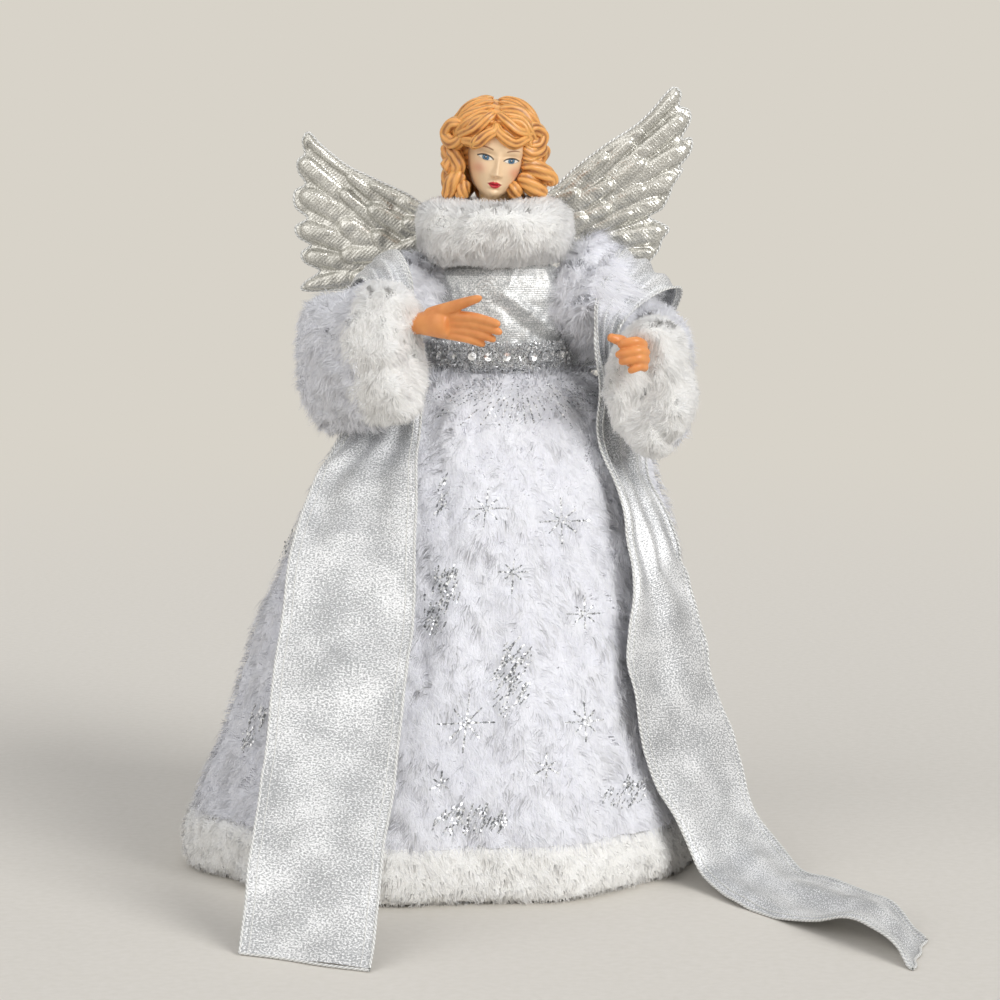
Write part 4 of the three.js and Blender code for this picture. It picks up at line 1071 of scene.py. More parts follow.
def bodice():
    columns = 290
    angle = np.linspace(0, TAU, columns, endpoint=False)
    height = np.append(np.linspace(253, 308.1, 104), [309.4, 311.0, 311.6, 311.6])
    rows = len(height)
    grow = np.append(np.full(105, 2.4), [1.6, -1.5, -8])[:, None]
    angle, height = np.meshgrid(angle, height)
    points = torso_points(angle, height, grow)
    creases = ridge(points, (1, 294), (30, 271), 3.2, 1.8)
    creases += ridge(points, (-4, 289), (26, 266), 2.6, -1.1)
    creases += ridge(points, (22, 305), (31, 288), 2.4, 1.1)
    creases += ridge(points, (-27, 304), (-22, 284), 1.9, 0.9)
    creases += ridge(points, (-19, 306), (-15, 286), 1.7, -0.7)
    creases += ridge(points, (8, 306), (5, 298), 2.0, 0.8)
    out_x, out_z = points[..., 0] + 7, points[..., 2] - 295
    spread = np.hypot(out_x, out_z)
    swirl = np.cos(spread * TAU / 2.3 - np.arctan2(out_z, out_x))
    creases += 0.32 * swirl * (1 - smooth(spread, 6.5, 8.5)) * (points[..., 1] < 0)
    uneven = lumps(points * [1, 1, 0.7], 13, 111) * 0.45 + lumps(points, 5, 112) * 0.12
    points += unit(points * [1, 1, 0]) * (creases + uneven)[..., None]
    faces = grid_faces(rows, columns, close_columns=True)
    uv = np.stack([angle * 31 * MM, height * MM], -1)
    piece = mesh_object("bodice", points.reshape(-1, 3), faces, bodice_lame,
                        uv=uv.reshape(-1, 2))
    ride(piece, "root", "bodice", slot="bodice_lame")


bodice()


# Metallised tinsel film, cut in threads and sequins: the fine light and dark flecks in its
# colour are painted glints and painted shade.
tinsel_dark, tinsel_bright, sequin_metal = [
    mottled(name, roughness, metallic, 1700, 1, [(0.42, dark), (0.56, light)])
    for name, light, dark, roughness, metallic in (
        ("tinsel_braid", "F4F5F6", "4A4D4F", 0.3, 0.6),
        ("tinsel_thread", "FBFBFC", "D2D4D6", 0.25, 0.45),
        ("sequin_metal", "FAFAFA", "E2E4E6", 0.12, 0.7),
    )
]


def belt():
    """A braid: a knotted ground painted dark for the shade under the loops, loops of flat bright
    thread in rows that overhang its edges as scallops, loose chips of thread, and a line of round
    sequins."""
    rng = np.random.default_rng(121)
    rows, columns = 24, 500
    turn, angle = round_grid(rows, columns)
    bulge, rise = superellipse(turn, 0.6)
    height = 260.6 + 7.2 * rise
    knots = 0.35 * np.sin(angle * 62 + height * 1.3) * np.sin(height * 2.1)
    points = torso_points(angle, height, 4.3)
    out = unit(np.stack([np.cos(angle), np.sin(angle), 0 * angle], -1))
    points += out * (1.1 * bulge + knots * (bulge > 0))[..., None]
    faces = grid_faces(rows, columns, close_rows=True, close_columns=True)
    # The braid's ground: dark tinsel, painted shade under the loops, flecked with painted glints.
    ground = mesh_object("belt", points.reshape(-1, 3), faces, tinsel_dark)
    ride(ground, "root", "belt", slot="tinsel")

    loops, steps = 1500, 9
    row = rng.integers(0, 6, loops)
    at = (np.arange(loops) * 0.61803 % 1) * TAU
    level = np.array([253.4, 256.0, 258.8, 262.2, 265.0, 267.8])[row]
    centre = torso_points(at, level, 6.2 + rng.uniform(-0.5, 0.5, loops))
    out = np.stack([np.cos(at), np.sin(at), 0 * at], -1)
    tilt = rng.normal(size=(loops, 3)) * 0.45
    face = unit(out + tilt)
    first = unit(np.cross(face, [0, 0, 1.0]))
    second = np.cross(face, first)
    size = rng.uniform(0.9, 1.75, loops)[:, None, None]
    phase = rng.uniform(0, TAU, loops)[:, None] + np.linspace(0, TAU * 0.86, steps)
    ring = first[:, None] * np.cos(phase)[..., None] + second[:, None] * np.sin(phase)[..., None]
    inner = centre[:, None] + ring * size
    points = np.stack([inner, inner + ring * 0.12 + face[:, None] * 0.34], 2)
    base = (np.arange(loops) * steps * 2)[:, None] + np.arange(steps - 1) * 2
    faces = np.stack([base, base + 1, base + 3, base + 2], -1).reshape(-1, 4)
    thread = mesh_object("belt_loops", points.reshape(-1, 3), faces, tinsel_bright)
    ride(thread, "root", slot="tinsel")

    chips = 3000
    at, level = rng.uniform(0, TAU, chips), rng.uniform(252.6, 268.6, chips)
    centre = torso_points(at, level, 6.1 + rng.uniform(-0.4, 0.6, chips))
    ahead = unit(rng.normal(size=(chips, 3)))
    aside = unit(np.cross(ahead, rng.normal(size=(chips, 3))))
    half = ahead * rng.uniform(0.6, 1.5, (chips, 1))
    points = np.stack([centre - half, centre + half, centre + half + aside * 0.5,
                       centre - half + aside * 0.5], 1)
    faces = np.arange(chips * 4).reshape(-1, 4)
    loose = mesh_object("belt_chips", points.reshape(-1, 3), faces, tinsel_bright, flat=True)
    ride(loose, "root", slot="tinsel")

    sequins, sides = 22, 24
    at = np.radians(np.arange(sequins) * 360 / sequins + rng.uniform(-3, 3, sequins))
    centre = torso_points(at, np.full(sequins, 260.8), 6.9)
    out = np.stack([np.cos(at), np.sin(at), 0 * at], -1)
    face = unit(out + rng.normal(size=(sequins, 3)) * 0.28)
    first = unit(np.cross([0, 0, 1.0], face))
    second = np.cross(face, first)
    angle = np.arange(sides) / sides * TAU
    rings = [(0.35, -0.25), (0.8, -0.22), (1.6, 0.0), (2.3, 0.12)]
    points = np.stack([
        centre[:, None]
        + (first[:, None] * np.cos(angle)[:, None] + second[:, None] * np.sin(angle)[:, None]) * r
        + face[:, None] * rise
        for r, rise in rings
    ], 1)
    single = grid_faces(len(rings), sides, close_columns=True)[:, ::-1]
    faces = (single + (np.arange(sequins) * len(rings) * sides)[:, None, None]).reshape(-1, 4)
    discs = mesh_object("belt_sequins", points.reshape(-1, 3), faces, sequin_metal)
    ride(discs, "root", slot="tinsel")


belt()


# Head: a painted face on a moulding, under separate moulded locks of hair. Face sizes are in
# millimetres in the head's own frame, up from the chin; hair is placed from above the chin.

HEAD_FOOT = np.array([-3, -4, 343.1])
TILT_PIVOT = np.array([0, 0, 15.0])


def head_turn():
    """The head's attitude: a nod, then a tilt to one side, then a turn."""
    nod, tilt, turn = math.radians(5), math.radians(9), math.radians(5)
    about_x = np.array([[1, 0, 0], [0, math.cos(nod), -math.sin(nod)],
                        [0, math.sin(nod), math.cos(nod)]])
    about_y = np.array([[math.cos(tilt), 0, math.sin(tilt)], [0, 1, 0],
                        [-math.sin(tilt), 0, math.cos(tilt)]])
    about_z = np.array([[math.cos(turn), -math.sin(turn), 0],
                        [math.sin(turn), math.cos(turn), 0], [0, 0, 1]])
    return about_z @ about_y @ about_x


HEAD_TURN = head_turn()


def on_head(local):
    return HEAD_FOOT + TILT_PIVOT + (local - TILT_PIVOT) @ HEAD_TURN.T


def bell_curve(value, centre, width):
    return np.exp(-(((value - centre) / width) ** 2))


def face_surface():
    """The front of the head, from under the chin to the crown: an oval that narrows to the chin,
    with brow, eye hollows, lids, nose, cheeks, lips and chin raised or sunk by soft bumps."""
    rows, columns = 234, 210
    z = np.linspace(-2.0, 40, rows)
    theta = np.linspace(-1.75, 1.75, columns)
    z, theta = np.meshgrid(z, theta, indexing="ij")
    half = np.interp(z, [-2, 0, 2, 4.5, 9, 14, 20, 28, 34, 40],
                     [1.5, 4.2, 6.9, 9.4, 11.9, 13.8, 15.2, 15.6, 14.5, 11])
    depth = np.interp(z, [-2, 0, 3, 7, 12, 20, 27, 34, 40],
                      [12.0, 17.2, 19.6, 20.3, 21.1, 21.5, 22.4, 20.6, 16])
    for row in (half, depth):
        smoothed = np.pad(row, ((9, 9), (0, 0)), "edge")
        row[:] = sum(smoothed[k : k + rows] for k in range(19)) / 19
    x = half * np.sin(theta)
    front = depth * np.sign(np.cos(theta)) * np.abs(np.cos(theta)) ** 0.8
    side = np.abs(x)
    eye = bell_curve(side, 6.7, 4.0)
    raised = -1.5 * eye * bell_curve(z, 20.9, 2.7)
    raised += 1.35 * bell_curve(side, 6.7, 3.1) * bell_curve(z, 20.3, 1.6)
    lid = 21.9 - ((side - 6.7) / 4.5) ** 2
    raised += 0.35 * bell_curve(side, 6.7, 4.2) * bell_curve(z, lid, 0.5)
    raised += 0.6 * bell_curve(side, 6.5, 5.0) * bell_curve(z, 25.0, 1.8)
    bridge = mix(0.9, 4.3, clamp((22 - z) / 9)) * smooth(z, 10.3, 12.4) * (1 - smooth(z, 21, 25))
    raised += bridge * bell_curve(x, 0, mix(2.1, 1.5, smooth(z, 13, 18)))
    raised += 1.0 * bell_curve(side, 2.0, 0.95) * bell_curve(z, 12.0, 1.0)
    raised -= 0.5 * bell_curve(side, 1.0, 0.55) * bell_curve(z, 10.9, 0.5)
    raised += 0.75 * bell_curve(side, 8.2, 4.2) * bell_curve(z, 13.5, 4.0)
    bow = 8.35 - 0.35 * bell_curve(x, 0, 0.6) + 0.25 * bell_curve(side, 1.1, 0.7)
    raised += 1.15 * bell_curve(x, 0, 3.0) * bell_curve(z, bow - 0.5, 0.85)
    raised += 1.35 * bell_curve(x, 0, 2.4) * bell_curve(z, 6.2, 0.9)
    raised -= 0.75 * bell_curve(x, 0, 3.3) * bell_curve(z, 7.15 + 0.03 * x**2, 0.33)
    raised -= 0.3 * bell_curve(x, 0, 0.8) * bell_curve(z, 9.7, 0.9)
    raised += 1.3 * bell_curve(x, 0, 3.6) * bell_curve(z, 2.4, 2.0)
    raised -= 0.5 * bell_curve(x, 0, 3.0) * bell_curve(z, 4.5, 0.8)
    local = np.stack([x, -front - raised, z], -1)
    return local, grid_faces(rows, columns)


def rgb(code):
    return np.array(srgb(code)[:3])


def painted(colour, code, amount):
    """A colour laid over another by an amount from 0 to 1 at each point."""
    return mix(colour, rgb(code), clamp(amount)[..., None])


def face_paint(local):
    """The doll's paint: cream skin, rosy cheeks, red lips, blue eyes with dark lids, thin brows. It
    holds painted shade at the face's sides, lid creases, lip parting and nostrils, and painted
    highlights in the eyes and on the lower lip.
    """
    x, z = local[..., 0], local[..., 2]
    side = np.abs(x)
    edge = 0.13
    colour = np.broadcast_to(rgb("F2D2AA"), (*x.shape, 3)).copy()
    # Painted shade: a darker tan towards the sides of the face, where it turns away.
    colour = painted(colour, "D9B07B", 0.35 * smooth(side, 10.5, 15.5))
    colour = painted(colour, "DB8A6C", 0.62 * bell_curve(side, 9.3, 3.2) * bell_curve(z, 14.6, 2.8))
    # Painted shade in the creases above the lids.
    colour = painted(colour, "C99A6C", 0.35 * bell_curve(side, 6.7, 3.8) * bell_curve(z, 23.0, 0.8))

    out = (side - 6.7) / 3.75
    height = 1.35 * np.maximum(1 - out**2, 0) ** 0.7
    level = 20.35 + 0.35 * out
    above = z - level
    white = (1 - smooth(np.abs(above) - height, -edge, edge)) * (np.abs(out) < 1)
    colour = painted(colour, "EFE9DF", white)
    spread = np.hypot(side - 6.7, above - 0.1)
    colour = painted(colour, "5E9ABF", white * (1 - smooth(spread, 1.5, 1.7)))
    colour = painted(colour, "23465F", white * bell_curve(spread, 1.5, 0.32))
    colour = painted(colour, "15151A", white * (1 - smooth(spread, 0.78, 0.98)))
    # Painted highlight: a white glint in each eye.
    glint = np.hypot(x - np.sign(x) * 6.7 - 0.05, above - 0.25)
    colour = painted(colour, "FFFFFF", white * (1 - smooth(glint, 0.2, 0.34)))
    lid = np.abs(above - height - 0.1 * (out > 0.9))
    colour = painted(colour, "2A211E", (1 - smooth(lid, 0.26, 0.52)) * (np.abs(out) < 1.12)
                     * (above > -0.5))
    lower = np.abs(above + height)
    lash = (1 - smooth(lower, 0.08, 0.25)) * (np.abs(out) < 0.95)
    colour = painted(colour, "8F6148", 0.35 * lash)

    arch = 24.6 + 1.2 * np.sin(clamp((side - 3.4) / 7.4) * math.pi * 0.72)
    thin = 0.36 * (1 - smooth(side, 7.0, 11.0)) + 0.1
    brow = (1 - smooth(np.abs(z - arch), thin * 0.5, thin + 0.12)) * smooth(side, 3.2, 3.9)
    colour = painted(colour, "8A5A3A", 0.85 * brow * (1 - smooth(side, 10.3, 11.2)))

    top = 7.3 + 1.55 * np.maximum(1 - (side / 3.9) ** 1.7, 0) - 0.4 * bell_curve(x, 0, 0.55)
    foot = 7.25 - 2.05 * np.maximum(1 - (side / 3.3) ** 2, 0)
    inside = smooth(np.minimum(top - z, z - foot), -edge, edge) * (1 - smooth(side, 3.5, 3.9))
    colour = painted(colour, "C4202F", inside)
    # Painted highlight: a paler shine on the lower lip.
    shine = bell_curve(x, -0.6, 1.0) * bell_curve(z, 6.3, 0.35)
    colour = painted(colour, "E06A70", 0.6 * inside * shine)
    # Painted shade: a dark line in the parting between the lips.
    parting = np.abs(z - 7.2 - 0.025 * x**2)
    colour = painted(colour, "6E0F18", 0.8 * inside * (1 - smooth(parting, 0.1, 0.28)))
    # Painted shade in the nostrils.
    nostril = bell_curve(side, 1.05, 0.35) * bell_curve(z, 11.0, 0.28)
    return painted(colour, "7E4A33", 0.6 * nostril)


def face_material():
    """Painted resin: satin paint with a faint unevenness of the brush."""
    made, tree, shader = new_material("painted_face", 0.38, Coat_Weight=0.15, Coat_Roughness=0.25)
    paint = add(tree, "Attribute", attribute_name="paint").outputs["Color"]
    place = add(tree, "TexCoord").outputs["Object"]
    uneven = add(tree, "TexNoise", {"Vector": place, "Scale": 900, "Detail": 2}).outputs["Fac"]
    cover(tree, shader, paint, uneven, 0.0001, 0.5)
    return made


def moulded_material(name, light, dark, roughness=0.36):
    """Moulded vinyl with a soft skin on top; painted shade darkens its colour in the grooves."""
    made, tree, shader = new_material(
        name, roughness, Coat_Weight=0.1, Coat_Roughness=0.3, Subsurface_Weight=0.1,
        Subsurface_Scale=0.003,
    )
    groove = add(tree, "Attribute", attribute_name="groove").outputs["Fac"]
    place = add(tree, "TexCoord").outputs["Object"]
    patches, pores = [
        add(tree, "TexNoise", {"Vector": place, "Scale": scale, "Detail": 2}).outputs["Fac"]
        for scale in (120, 1400)
    ]
    # Painted shade: the groove attribute is low in the grooves between strands and darkens the
    # colour there.
    level = add(tree, "Math", {0: groove, 1: 0.72, 2: patches},
                operation="MULTIPLY_ADD").outputs["Value"]
    shade = add(tree, "ValToRGB", {"Fac": level}, [(0.3, dark), (0.95, light)]).outputs["Color"]
    cover(tree, shader, shade, pores, 0.00008, 0.5)
    return made


# The hair's dark stop is the painted shade in its grooves.
hair_vinyl = moulded_material("moulded_hair", "EFAE62", "7E3D18")
skin_vinyl = moulded_material("moulded_skin", "F3A964", "DC8A4A", 0.4)


def face():
    local, faces = face_surface()
    paint = face_paint(local).reshape(-1, 3)
    points = on_head(local.reshape(-1, 3))
    neck_points, neck_faces, _ = sausage([(0, 0, -13), (0, 0, -4), (0, 0, 6)], [8.2, 7.8, 8.2],
                                         steps=24, sides=48)
    # The neck's cream is darker than the face's: painted shade under the chin.
    neck_shaded_paint = np.broadcast_to(rgb("E2BF8C"), neck_points.shape)
    points, faces, paint = combine(
        [(points, faces, paint), (neck_points + HEAD_FOOT, neck_faces, neck_shaded_paint)]
    )
    piece = mesh_object("face", points, faces, face_material())
    layer = piece.data.color_attributes.new("paint", "FLOAT_COLOR", "POINT")
    layer.data.foreach_set("color", np.column_stack([paint, np.ones(len(paint))]).ravel())
    ride(piece, "head", "head", slot="painted_head")


face()


# Locks of hair: points (x, y, z) from above the chin, then radii along them.
BANGS = [
    ([(1, -20.5, 37), (0.4, -22.8, 33), (-3.8, -23.6, 30.6), (-8.6, -22.6, 27.2),
      (-12.5, -19.5, 27.8), (-16.5, -14.5, 28.6)], [1.6, 2.4, 2.9, 3.1, 2.8, 2.2]),
    ([(1.4, -20.5, 37), (2.2, -22.8, 32.6), (6.2, -23.2, 28.6), (10.2, -21.3, 26.6),
      (14.6, -17.5, 28.2), (19, -12.5, 30.5)], [1.6, 2.4, 2.9, 2.9, 2.7, 2.6]),
    ([(0.6, -18.5, 42), (-4, -20.5, 38.6), (-9.5, -20.2, 34.0), (-14.2, -16.6, 32.2),
      (-18.5, -12, 31)], [1.8, 2.7, 3.1, 3.0, 2.6]),
    ([(1.8, -18.5, 42), (6, -20.3, 38), (11.6, -19.0, 33.0), (16.6, -15.2, 32.0),
      (20.5, -10.5, 33)], [1.8, 2.7, 3.0, 3.0, 2.8]),
    ([(-6, -22.3, 31), (-9.6, -23.4, 28.2), (-10.6, -22.6, 25.4), (-8.4, -22.4, 25.2)],
     [1.7, 2.0, 1.7, 1.2]),
]
CURLS = [
    ([(-15.5, -13.5, 36), (-21, -9.5, 36.5), (-24.2, -6, 31.5), (-21, -10.5, 27),
      (-16.6, -13.5, 29.5), (-17.6, -13.5, 33)], [2.8, 3.7, 3.9, 3.5, 2.9, 2.0]),
    ([(-17, -8, 29), (-21, -7, 24), (-19.5, -9, 19.5), (-18.5, -9, 15), (-21, -8, 11)],
     [3.0, 3.7, 3.6, 3.8, 3.4]),
    ([(-17, -5, 20), (-22.5, -6.5, 15.8), (-26.2, -7, 13.2)], [3.2, 4.0, 3.8]),
    ([(-16.4, -8, 12), (-19.8, -9, 8.4), (-22.8, -8, 3), (-26, -7, -1.2)], [3.8, 4.5, 3.9, 2.4]),
    ([(-14.6, -9, 8), (-16.4, -9.6, 3.2), (-16.6, -9, -1.5)], [3.0, 3.8, 3.2]),
    ([(15, -13.5, 31), (19.8, -12.5, 34.2), (24, -8.5, 31), (22.4, -10.5, 26.4), (17.8, -13.6, 26.2),
      (18.2, -14.6, 29.6)], [2.8, 3.4, 3.9, 3.6, 3.0, 2.2]),
    ([(14.8, -14.5, 25.5), (19, -13, 22), (23.6, -8.5, 23.4), (23, -6, 27)], [2.2, 3.1, 3.6, 3.2]),
    ([(14.6, -13.2, 20.6), (18.6, -11.5, 18.2), (23.2, -7.5, 20.2)], [2.2, 3.2, 3.2]),
    ([(13.6, -11.5, 15.4), (18.6, -11, 14.8), (24.6, -9, 11.8), (29.2, -7, 8.6), (29.4, -6.5, 4.6)],
     [2.8, 4.2, 4.6, 3.9, 2.0]),
    ([(12.2, -11.5, 10), (16.4, -11.5, 7.6), (21.6, -10, 3.4), (26.4, -8, -0.9)],
     [3.0, 4.3, 4.6, 2.9]),
    ([(9.8, -11.0, 7.4), (10.4, -11.6, 3.2), (11.4, -10.5, -1)], [2.8, 4.0, 3.2]),
]
RINGLETS = [(24, 3, 3.6), (20.5, 11, 3.9), (13, 17.5, 4.1), (4, 20.5, 4.2), (-6, 20.0, 4.2),
            (-14.5, 16, 4.0), (-20.5, 9.5, 3.8), (-23, 1.5, 3.6)]


def skull():
    """The crown under the locks. Its lower front is drawn in behind the face."""
    rows, columns = 50, 90
    down, angle = round_grid(np.linspace(0, math.pi, rows), columns)
    x = 1 + 21.3 * np.sin(down) * np.cos(angle)
    y = -1 + 20.8 * np.sin(down) * np.sin(angle)
    z = 29 + 20.6 * np.cos(down)
    drawn = mix(0.35, 1.0, smooth(z, 27, 34))
    y = np.where(y < -3, -3 + (y + 3) * drawn, y)
    ridges = 0.5 * np.cos(z * 2.2 + 2 * np.sin(angle * 4))
    points = np.stack([x, y, z], -1)
    points += unit(points - [1, -1, 29]) * (ridges * np.sin(down))[..., None]
    faces = grid_faces(rows, columns, close_columns=True)[:, ::-1]
    return points.reshape(-1, 3), faces, (ridges / 0.5).reshape(-1)


def crown_lock(side, back, number):
    """A lock combed from the parting over the crown and down the side. back is its angle from
    the front to the back of the crown; it swings towards the ear on its way down and waves."""
    rng = np.random.default_rng(200 + number)
    theta = np.radians(np.linspace(3, 100, 9))
    share = np.linspace(0, 1, 9)
    wave = 0.085 * np.sin(share * 10 + rng.uniform(0, TAU)) * share
    bearing = back * (1 - 0.5 * share**1.3) + wave
    reach = 1.0 + 0.03 * np.sin(share * 8 + rng.uniform(0, TAU))
    x = 1 + side * 21.8 * reach * np.cos(bearing) * np.sin(theta)
    y = -1 + 21.0 * reach * np.sin(bearing)
    z = 29 + 21.0 * reach * np.cos(bearing) * np.cos(theta)
    points = np.stack([x, y, z], -1)
    radii = [0.9, 1.9, 2.5, 2.7, 2.8, 2.8, 2.8, 2.6, 2.0]
    return sausage(points, radii, steps=40, sides=18, ridges=6, twist=3.0)


def hair():
    parts = [skull()]
    number = 0
    for side in (-1, 1):
        for back in np.radians([-66, -53, -40, -27, -14, -1, 12, 25, 38, 51, 64]):
            parts.append(crown_lock(side, back, number))
            number += 1
    for points, radii in BANGS:
        parts.append(sausage(points, radii, steps=40, sides=24, ridges=6, twist=5.0))
    for points, radii in CURLS:
        parts.append(sausage(points, radii, steps=44, sides=26, ridges=6, twist=11.0))
    for x, y, radius in RINGLETS:
        coil = np.linspace(0, 1, 14)
        line = np.stack([x + 1.5 * np.cos(coil * 12 + x), y + 1.5 * np.sin(coil * 12 + x),
                         mix(26, -3, coil)], -1)
        radii = radius * (1 - 0.35 * coil**3)
        parts.append(sausage(line, radii, steps=52, sides=18, ridges=5, twist=16.0))
    points, faces, groove = combine(parts)
    # The groove attribute carries the painted shade into the grooves between strands.
    piece = mesh_object("hair", points + HEAD_FOOT, faces, hair_vinyl,
                        attribute={"groove": (groove + 1) / 2})
    ride(piece, "head", slot="painted_head")


hair()


# Hands: (x, y, z) in the forearm's frame with z past the wrist, then radii

LEFT_HAND = [
    ([(0, 0, -24), (0, 0, -12), (0, 0, 0), (0, -0.3, 6)], [5.9, 5.7, 5.4, 6.0]),
    ([(0, 0.2, 0), (0, -0.2, 8), (0, -0.6, 15), (0.2, -1.3, 20)], [5.3, 6.6, 7.6, 5.8]),
    ([(0, 3.2, 12), (-0.5, 2.0, 30), (0, -0.2, 40), (1, -2.8, 47.5)], [3.1, 2.7, 2.3, 1.8]),
    ([(0.3, 0, 14), (0.5, -1.8, 32), (1.5, -4.4, 41), (2.8, -7.0, 47)], [2.9, 2.7, 2.3, 1.8]),
    ([(0.8, -3.0, 13), (1, -5.4, 30), (2.4, -8.2, 38), (4, -10.4, 42.5)], [2.8, 2.5, 2.2, 1.7]),
    ([(1, -5.4, 12), (1, -8.4, 26), (2.6, -10.8, 32.5), (4.4, -12.4, 36)], [2.5, 2.2, 1.9, 1.6]),
    ([(-1, 3.0, 5), (-2.6, 6.2, 18), (-4, 9.2, 31), (-4.5, 11.2, 41)], [4.2, 3.4, 2.6, 1.9]),
]
RIGHT_HAND = [
    ([(0, 0, -24), (0, 0, -12), (0, 0, 0), (1.5, -0.6, 6)], [5.9, 5.7, 5.6, 6.4]),
    ([(1.5, -0.5, 2), (2.5, -1.6, 8), (3.2, -2.2, 13)], [5.6, 7.6, 6.8]),
    ([(8.4, 1.6, 8), (6.0, 4.6, 15.6), (0.6, 4.0, 18.4), (-3.2, 2.6, 17.4)], [2.5, 2.5, 2.3, 1.9]),
    ([(9.4, -1.8, 8), (7.2, 0.2, 16.4), (1, -0.9, 19.2), (-4.4, -2.1, 17.8)], [2.5, 2.5, 2.3, 1.9]),
    ([(9.4, -5.6, 8), (7.6, -3.6, 16), (2.4, -4.6, 18.6), (-3.0, -5.6, 17.2)], [2.5, 2.4, 2.2, 1.8]),
    ([(8.6, -9.2, 8), (7.3, -7.8, 14.6), (4.4, -9.0, 17.0), (1.8, -10.2, 15.8)],
     [2.3, 2.2, 2.0, 1.7]),
    ([(-2.4, 1.6, 6), (-3.2, 4.4, 12), (-5.6, 5.8, 15.6), (-8.8, 7.0, 17.2)], [3.4, 3.0, 2.5, 2.0]),
]


def hand(arm, limbs):
    """A moulded hand: a skin over the palm, wrist and fingers."""
    parts = []
    for points, radii in limbs:
        points, faces, _ = sausage(points, radii, steps=40, sides=24, flat=0.92)
        parts.append((arm.place(points + [0, 0, arm.reach]), faces))
    points, faces = combine(parts)
    piece = remeshed(f"hand_{arm.side}", points, faces, 0.55, 5, skin_vinyl)
    ride(piece, f"{arm.side}_hand", f"hand_{arm.side}", slot="skin")


hand(left_arm, LEFT_HAND)
hand(right_arm, RIGHT_HAND)


# Foil motifs printed on the plush: short flat flakes along each stroke. A motif sits at an angle
# round the skirt in degrees and a height; its sizes and lean are in millimetres and degrees.


# Silver foil: thin flakes, their colour flecked bright and dark as painted glints and painted shade.
silver_foil = mottled("silver_foil", 0.34, 0.75, 700, 1, [(0.44, "75787C"), (0.6, "F4F5F7")])


def foil(name, body, centres, outs, aheads, lengths, seed):
    """Flat flakes at places, each along its own direction and turned a little at random."""
    rng = np.random.default_rng(seed)
    outs = unit(outs + rng.normal(size=outs.shape) * 0.28)
    aheads = unit(aheads - outs * (aheads * outs).sum(1, keepdims=True))
    aside = np.cross(outs, aheads) * rng.uniform(0.42, 0.66, (len(centres), 1))
    half = aheads * (lengths / 2)[:, None]
    corners = [centres - half, centres - aside, centres + half, centres + aside]
    points = np.stack(corners, 1).reshape(-1, 3)
    made = mesh_object(name, points, np.arange(len(points)).reshape(-1, 4), silver_foil, flat=True)
    made.visible_shadow = False
    ride(made, body, slot="gown_plush")


def star_strokes(size, rays, long_ray):
    """Rays from a centre: each is a run of points (across, up) with a direction."""
    made = []
    for k in range(rays):
        turn = math.radians(90 - 360 * k / rays)
        reach = size / 2 * (0.72 if k % 2 else 1.0)
        if long_ray and k == rays // 2:
            reach *= 1.7
        for step in np.arange(1.2, reach, 0.85):
            made.append((math.cos(turn) * step, math.sin(turn) * step, turn))
    return made


def cluster_strokes(width, tall, lean, strokes, seed):
    """Broken parallel strokes that fill an oval and lean by an angle from upright."""
    rng = np.random.default_rng(seed)
    made = []
    for _ in range(strokes):
        radius, turn = math.sqrt(rng.uniform()), rng.uniform(0, TAU)
        x, y = radius * math.cos(turn) * width / 2, radius * math.sin(turn) * tall / 2
        way = math.radians(90 - lean + rng.normal() * 9)
        for step in np.arange(0, rng.uniform(2.5, 6.5), 0.9):
            if rng.uniform() < 0.8:
                made.append((x + math.cos(way) * step, y + math.sin(way) * step, way))
    return made


def fan_strokes():
    """Broken streaks that spread downwards from above the belt."""
    rng = np.random.default_rng(141)
    made = []
    for way in np.radians(np.linspace(-142, -38, 30)):
        start, end = rng.uniform(13, 22), rng.uniform(27, 40)
        for step in np.arange(start, end, 0.95):
            if rng.uniform() < 0.72:
                made.append((math.cos(way) * step * 1.15, 15 + math.sin(way) * step, way))
    return made


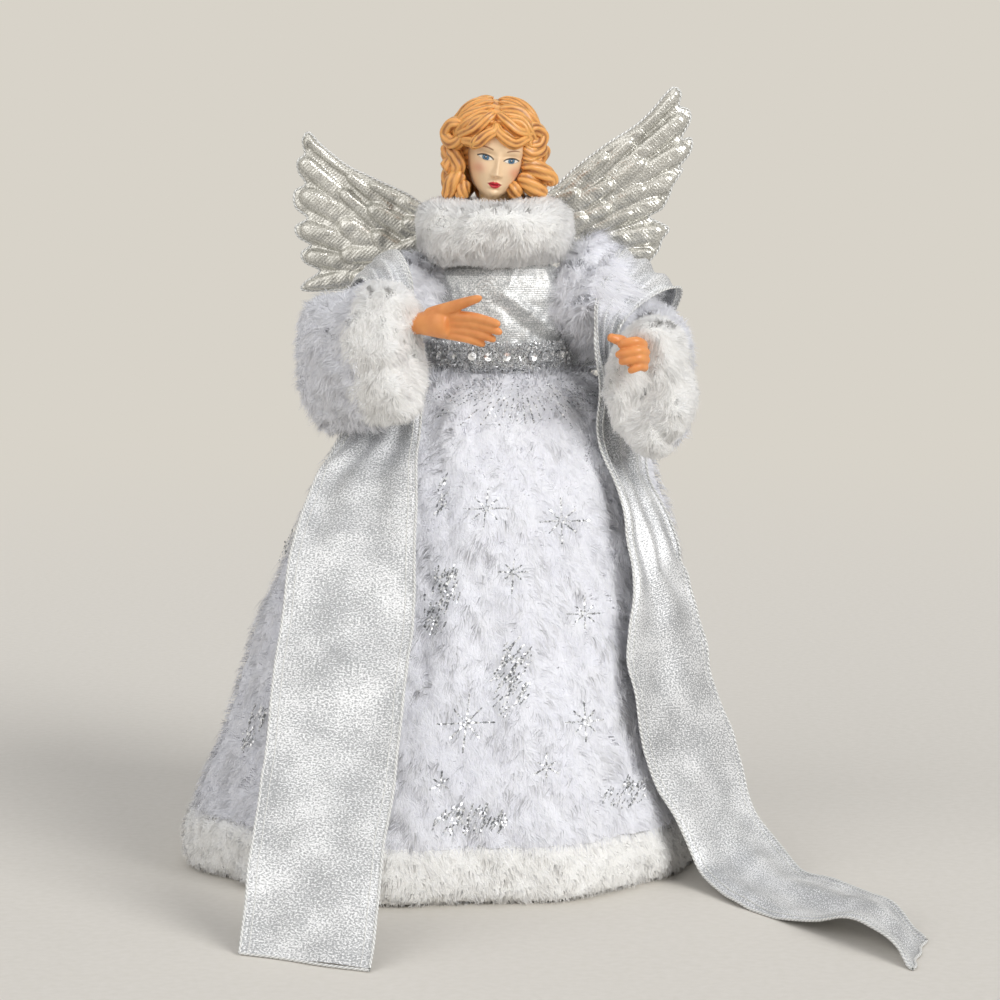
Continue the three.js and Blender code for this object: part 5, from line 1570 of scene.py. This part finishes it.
STARS = [
    (-89.2, 188.5, 20, 8, False), (-64.1, 181.5, 24, 8, False), (-79.5, 158.4, 13, 8, True),
    (-58.8, 137.0, 16, 8, False), (-87.6, 87.6, 28, 8, False), (-59.4, 86.3, 21, 8, False),
    (-68.8, 66.6, 13, 6, False), (-91.7, 60.1, 12, 6, False), (-25, 190, 20, 8, False),
    (-12, 96, 26, 8, False), (8, 150, 18, 8, False), (30, 84, 24, 8, False),
    (52, 176, 20, 8, False), (78, 110, 26, 8, False), (104, 160, 18, 8, False),
    (128, 88, 24, 8, False), (152, 140, 20, 8, False), (176, 92, 22, 8, False),
    (-162, 165, 20, 8, False),
]
CLUSTERS = [
    (-98.3, 144.4, 17, 34, 10, 60), (-78.4, 107, 17, 38, 38, 70), (-149, 74, 16, 24, 12, 36),
    (-83.8, 40.5, 42, 12, 14, 60), (-48.5, 48, 34, 12, 40, 46), (-104.4, 192, 5, 22, 8, 14),
    (12, 60, 22, 26, 20, 50), (66, 64, 20, 30, -20, 50), (112, 62, 22, 26, 20, 50),
    (160, 60, 20, 26, -15, 40), (40, 140, 16, 32, 15, 45), (140, 190, 14, 28, 10, 36),
]


def skirt_foil():
    motifs = [(at, height, star_strokes(size, rays, long_ray))
              for at, height, size, rays, long_ray in STARS]
    motifs += [(at, height, cluster_strokes(width, tall, lean, strokes, 150 + k))
               for k, (at, height, width, tall, lean, strokes) in enumerate(CLUSTERS)]
    motifs.append((-79, 247, fan_strokes()))
    rows = []
    for at, height, strokes in motifs:
        across, up, way = np.array(strokes).T
        middle = math.radians(at)
        radius = np.linalg.norm(skirt_points(np.array([middle]), np.array([height]))[0, :2])
        rows.append(np.stack([middle + across / radius, height + up * 0.95, way], -1))
    angle, height, way = np.vstack(rows).T
    keep = (height > 33) & (height < 250)
    angle, height, way = angle[keep], height[keep], way[keep]

    def place(angle, height):
        return skirt_points(angle, height, 5.7 + skirt_folds(angle, height))

    centres = place(angle, height)
    across = unit(place(angle + 0.01, height) - centres)
    up = unit(place(angle, height + 0.8) - centres)
    outs = np.cross(across, up)
    aheads = across * np.cos(way)[:, None] + up * np.sin(way)[:, None]
    rng = np.random.default_rng(142)
    centres = centres + outs * rng.uniform(-0.5, 0.7, (len(centres), 1))
    foil("skirt_foil", "root", centres, outs, aheads, rng.uniform(1.1, 2.4, len(centres)), 143)


skirt_foil()


# The frame's own parts that stay as they are


# Grey card: matt, with short fibres.
card = mottled("card", 0.85, 0, 900, 3, [(0.35, "C9C2B4"), (0.65, "DBD5C8")],
               stretch=(1, 1, 0.3), relief=(0.0002, 0.5))
# White moulded plastic: satin, with a faint flow mottle.
white_moulding = mottled("white_moulding", 0.45, 0, 80, 2, [(0.3, "DEDAD2"), (0.7, "E9E6DF")])
FINISHES = {
    card: ("support_cone", "wing_tab"),
    white_moulding: ("torso_form", "neck_peg"),
    steel_wire: ("arm_wire", "forearm_wire_left", "forearm_wire_right"),
}
for finish, names in FINISHES.items():
    for name in names:
        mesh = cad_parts[name].data
        mesh.materials.clear()
        mesh.materials.append(finish)


# Bring the view layer up to date

bpy.context.view_layer.update()
